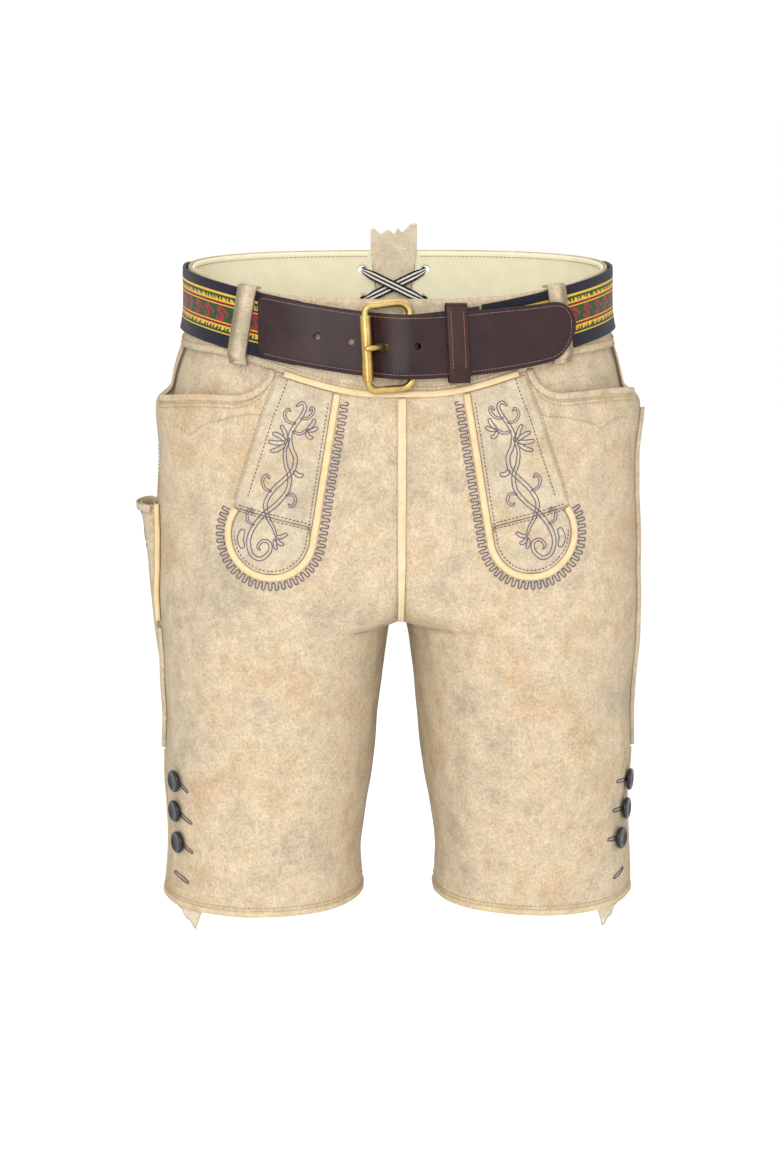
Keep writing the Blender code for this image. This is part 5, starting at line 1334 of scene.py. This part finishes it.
# own plant layout: each stroke as (outward from the trim's middle, z), drawn with a double line
vineStems = (
    ((2.0, -98.0), (-1.5, -95.0), (-5.0, -98.5), (-4.0, -105.0), (-1.0, -112.0), (1.0, -120.0),
     (-2.0, -129.0), (-7.0, -137.0), (-7.5, -146.0), (-2.0, -154.0), (4.0, -162.0), (7.0, -172.0),
     (3.0, -182.0), (-3.0, -190.0), (-7.0, -197.0)),
    ((1.0, -122.0), (2.0, -132.0), (-1.0, -142.0), (-6.0, -151.0), (-7.0, -162.0), (-1.5, -172.0),
     (6.0, -180.0), (11.5, -190.0), (13.0, -201.0), (8.5, -211.0), (1.0, -214.5), (-4.5, -209.0),
     (-3.5, -202.5), (2.0, -200.5), (5.0, -205.0), (2.5, -208.0)),
)
vineCurls = (
    ((-3.5, -107.0), (-9.0, -106.5), (-12.0, -102.0), (-10.5, -98.5), (-8.5, -101.0)),
    ((-1.5, -111.0), (5.0, -109.5), (9.0, -104.5), (7.5, -100.0), (5.0, -102.0)),
    ((0.0, -117.0), (-6.0, -118.5), (-10.5, -115.5)),
    ((4.5, -163.0), (10.5, -160.5), (13.5, -154.5), (11.0, -150.5), (8.5, -153.5)),
    ((-6.5, -165.5), (-12.0, -165.0), (-15.0, -170.0), (-12.5, -174.0), (-10.0, -171.5)),
    ((11.5, -189.0), (17.0, -186.0), (19.0, -180.0), (16.5, -177.0), (14.5, -180.5)),
)
vinePetals = (        # half its width, then foot, middle and tip of each petal or leaf
    (1.5, (3.0, -123.0), (6.0, -117.0), (9.5, -112.5)),
    (1.6, (3.5, -124.0), (9.0, -120.5), (14.5, -118.5)),
    (1.6, (3.5, -125.5), (10.0, -126.0), (16.0, -125.0)),
    (1.5, (3.0, -127.0), (8.0, -131.0), (13.0, -132.5)),
    (1.4, (-10.5, -115.5), (-13.5, -111.5), (-14.5, -107.0)),
    (1.4, (-11.0, -116.0), (-15.0, -115.5), (-18.5, -113.5)),
    (1.4, (-10.5, -117.0), (-13.0, -120.5), (-16.5, -121.5)),
    (1.4, (-7.0, -197.5), (-11.0, -197.0), (-14.5, -194.5)),
    (1.4, (-7.0, -198.5), (-10.5, -202.0), (-14.0, -203.0)),
    (1.3, (-6.5, -199.0), (-7.5, -203.5), (-9.5, -207.0)),
    (2.4, (16.0, -207.0), (19.5, -200.0), (19.0, -192.5)),
    (1.6, (-8.0, -147.0), (-12.5, -150.0), (-16.0, -149.5)),
)
# half the distance between a stroke's two lines, its step and its thread's share
vineStyle = {"stem": (1.5, 0.7, 1.0), "curl": (0.9, 0.6, 0.9), "petal": (None, 0.5, 1.0)}


def vineStroke(spots):
    spots = np.asarray(spots, float)
    return np.stack((trimMiddle(spots[:, 1]) + spots[:, 0], spots[:, 1]), -1)


def doubleLine(line, half):
    # two fine lines that run beside a stroke and meet at its ends
    along = unit(np.gradient(line, axis=0))
    beside = np.stack((along[:, 1], -along[:, 0]), -1)
    far = np.linspace(0, 1, len(line))[:, None]
    swell = half * np.sqrt(np.clip(4 * far * (1 - far), 0.0, 1.0)) ** 0.5
    return np.concatenate((line + beside * swell, (line - beside * swell)[::-1]))


def vineRuns(onTrim):
    strokes = [("stem", spots, None) for spots in vineStems] + [("curl", spots, None) for spots in vineCurls]
    strokes += [("petal", spots, half) for half, *spots in vinePetals]
    runs = []
    for kind, spots, ownHalf in strokes:
        half, step, share = vineStyle[kind]
        line = doubleLine(smoothLine(vineStroke(spots), step), ownHalf or half)
        runs.append((onTrim(line[:, 0], line[:, 1], 0.0), share, True))
    return runs


# the wavy row that runs under each pocket's mouth, as (x, z)
pocketWave = {
    1: ((101.0, -104.0), (112.0, -107.5), (124.0, -109.0), (136.0, -112.0), (147.0, -115.5),
        (151.0, -118.5), (154.0, -120.0), (159.0, -116.5), (168.0, -114.0), (175.0, -117.0)),
    -1: ((106.0, -105.0), (118.5, -106.0), (129.0, -108.5), (140.0, -112.0), (148.0, -115.0),
         (154.0, -119.5), (161.0, -125.0), (166.0, -122.0), (171.0, -120.0), (176.0, -124.0)),
}
for word, side in sides.items():
    onTrim, onPanel = onFront(side, thread["trimLift"]), onFront(side, thread["panelLift"])
    x, z = serpentineLine().T
    addThread(f"serpentine{word}", "slateThread", [(onPanel(x, z, serpentine["lift"]), 1.0, False)],
              thread["heavy"])
    addThread(f"vine{word}", "slateThread", vineRuns(onTrim), thread["heavy"])
    z = np.linspace(*trimRow["reach"], 80)
    share = trimRow["share"]
    dotted = stitchRun(onTrim, np.stack((trimSeamX(z) - trimRow["seamIn"], z), -1), share=share)
    dotted += stitchRun(onTrim, pipingLine(-trimRow["pipingIn"], *trimRow["inner"]), share=share)
    (innerZ, outerZ), (innerIn, outerIn) = trimRow["crossReach"], trimRow["crossIn"]
    x = np.linspace(pipingX(innerZ) + innerIn, trimSeamX(outerZ) - outerIn, 30)
    for shift in (trimRow["crossApart"], -trimRow["crossApart"]):
        dotted += stitchRun(onTrim, np.stack((x, crossSeam(x) + shift), -1), share=trimRow["crossShare"])
    addThread(f"trimRow{word}", "darkThread", dotted, thread["fine"])
    z = np.linspace(*pocketRow["reach"], 90)
    rows = stitchRun(onFront(side), np.stack((trimSeamX(z) + pocketRow["seamOut"], z), -1))
    phi, high = (values[4:-3] for values in mouthLine(side))
    for drop in pocketRow["drops"]:
        rows += sideRow(side, phi, high - drop)
    rows += stitchRun(onFront(side, thread["seamLift"]), smoothLine(pocketWave[side]))
    addThread(f"pocketRow{word}", "tanThread", rows, thread["fine"])
print("embroidery made")

# rows on the waistband, its facing, the hems and the back; buttonholes; rows on the belt
buttonhole = {"half": 1.3, "thread": 0.45, "lift": 0.25}
# each buttonhole's outer and inner end as (lead before the side, height); the lowest has no button
buttonholes = {
    1: ((0.33, -408.5, 0.62, -404.5), (0.42, -430.5, 0.66, -428.0), (0.58, -451.3, 0.76, -450.0),
        (0.50, -478.0, 0.72, -482.4)),
    -1: ((0.57, -402.0, 0.74, -408.5), (0.56, -427.0, 0.79, -433.6), (0.60, -452.0, 0.80, -457.6),
         (0.50, -478.6, 0.76, -483.0)),
}
# curls on the knife pocket as (share of the way round it, z)
pocketCurls = (
    ((0.20, -196.0), (0.28, -192.0), (0.34, -197.0), (0.31, -204.0), (0.24, -210.0), (0.22, -219.0)),
    ((0.25, -209.0), (0.33, -209.5), (0.38, -204.0), (0.40, -199.5)),
    ((0.23, -214.0), (0.31, -218.0), (0.36, -215.0), (0.38, -210.5)),
    ((0.22, -222.0), (0.28, -229.0), (0.36, -228.0), (0.38, -222.0), (0.34, -219.5), (0.30, -222.5)),
)
sewnRow = {"endIn": 0.02, "hemIn": 0.12, "seamOut": 0.06, "seamReach": (-140.0, -372.0)}


def buttonholeRuns(side):
    runs, scale = [], thread["legScale"]
    for leadOut, zOut, leadIn, zIn in buttonholes[side]:
        phi, z = math.pi - np.linspace(leadOut, leadIn, 24), np.linspace(zOut, zIn, 24)
        line = doubleLine(np.stack((phi * scale, z), -1), buttonhole["half"])
        runs.append((place(side, line[:, 0] / scale, line[:, 1], buttonhole["lift"]), 1.0, True))
    return runs


for word, side in sides.items():
    first, last = float(frontInner(band["level"])), float(backInner(band["level"]))
    phi = np.linspace(first + sewnRow["endIn"], last - sewnRow["endIn"], 300)
    rows = sideRow(side, phi, bandBottom(phi) + band["stitchUp"], band["lift"] + thread["seamLift"])
    around = np.linspace(sewnRow["hemIn"], 2 * math.pi - sewnRow["hemIn"], 240)
    rows += sideRow(side, around, panel["hem"] + hem["stitchUp"], scale=thread["legScale"])
    z = np.linspace(*sewnRow["seamReach"], 120)
    rows += sideRow(side, sideSeam(z) + sewnRow["seamOut"], z)
    addThread(f"hemRow{word}", "tanThread", rows, thread["fine"])
    lift = facing["lift"] - facing["thick"] - thread["seamLift"]
    rows = sideRow(side, phi, waistTop(phi) - facing["stitchDown"], lift, way=-1, flare=0.0)
    addThread(f"facingRow{word}", "tanThread", rows, thread["fine"])
    addThread(f"buttonhole{word}", "darkThread", buttonholeRuns(side), buttonhole["thread"])


def strapRow():
    inset, last = strap["stitchIn"], strap["tip"] - strap["stitchIn"] - 0.5
    x = np.linspace(strap["start"] + inset, last, 200)
    half = np.minimum(strapHalf(x) - inset, strapHalf(np.minimum(x + inset, strap["tip"])))
    upper = np.stack((x, -half), -1)
    return np.concatenate((upper, upper[::-1] * (1, -1)))


beltPitch = strap["stitchPitch"], strap["stitchShare"]
rows = stitchRun(lambda x, down, more: strapPoint(x, down, more - strap["stitchSunk"]), strapRow(),
                 *beltPitch)
addThread("strapRow", "beltThread", rows, strap["stitch"])
middleZ = float(beltMiddle(angleAt(keeper["x"], belt["level"], 1), belt["bandPower"]))
lift = keeper["high"] + keeper["thick"] + keeper["stitchLift"]
z = np.linspace(middleZ + keeper["stitchHalf"], middleZ - keeper["stitchHalf"], 40)
rows = []
for inset in (keeper["stitchIn"] - keeper["width"] / 2, keeper["width"] / 2 - keeper["stitchIn"]):
    x = keeper["x"] + inset + keeper["lean"] * (z - middleZ)
    rows += stitchRun(lambda a, b, more: waistSpot(a, b, lift + more), np.stack((x, z), -1), *beltPitch)
addThread("keeperRow", "keeperThread", rows, strap["stitch"])
runs, scale = [], (thread["pocketScale"], 1.0)
for spots in pocketCurls:
    turn, z = (smoothLine(np.asarray(spots) * scale) / scale).T
    runs.append((sheathPoint(turn, z, sheath["curlLift"]), 1.0, False))
addThread("knifePocketCurls", "slateThread", runs, sheath["curlThread"])
print("stitching made")
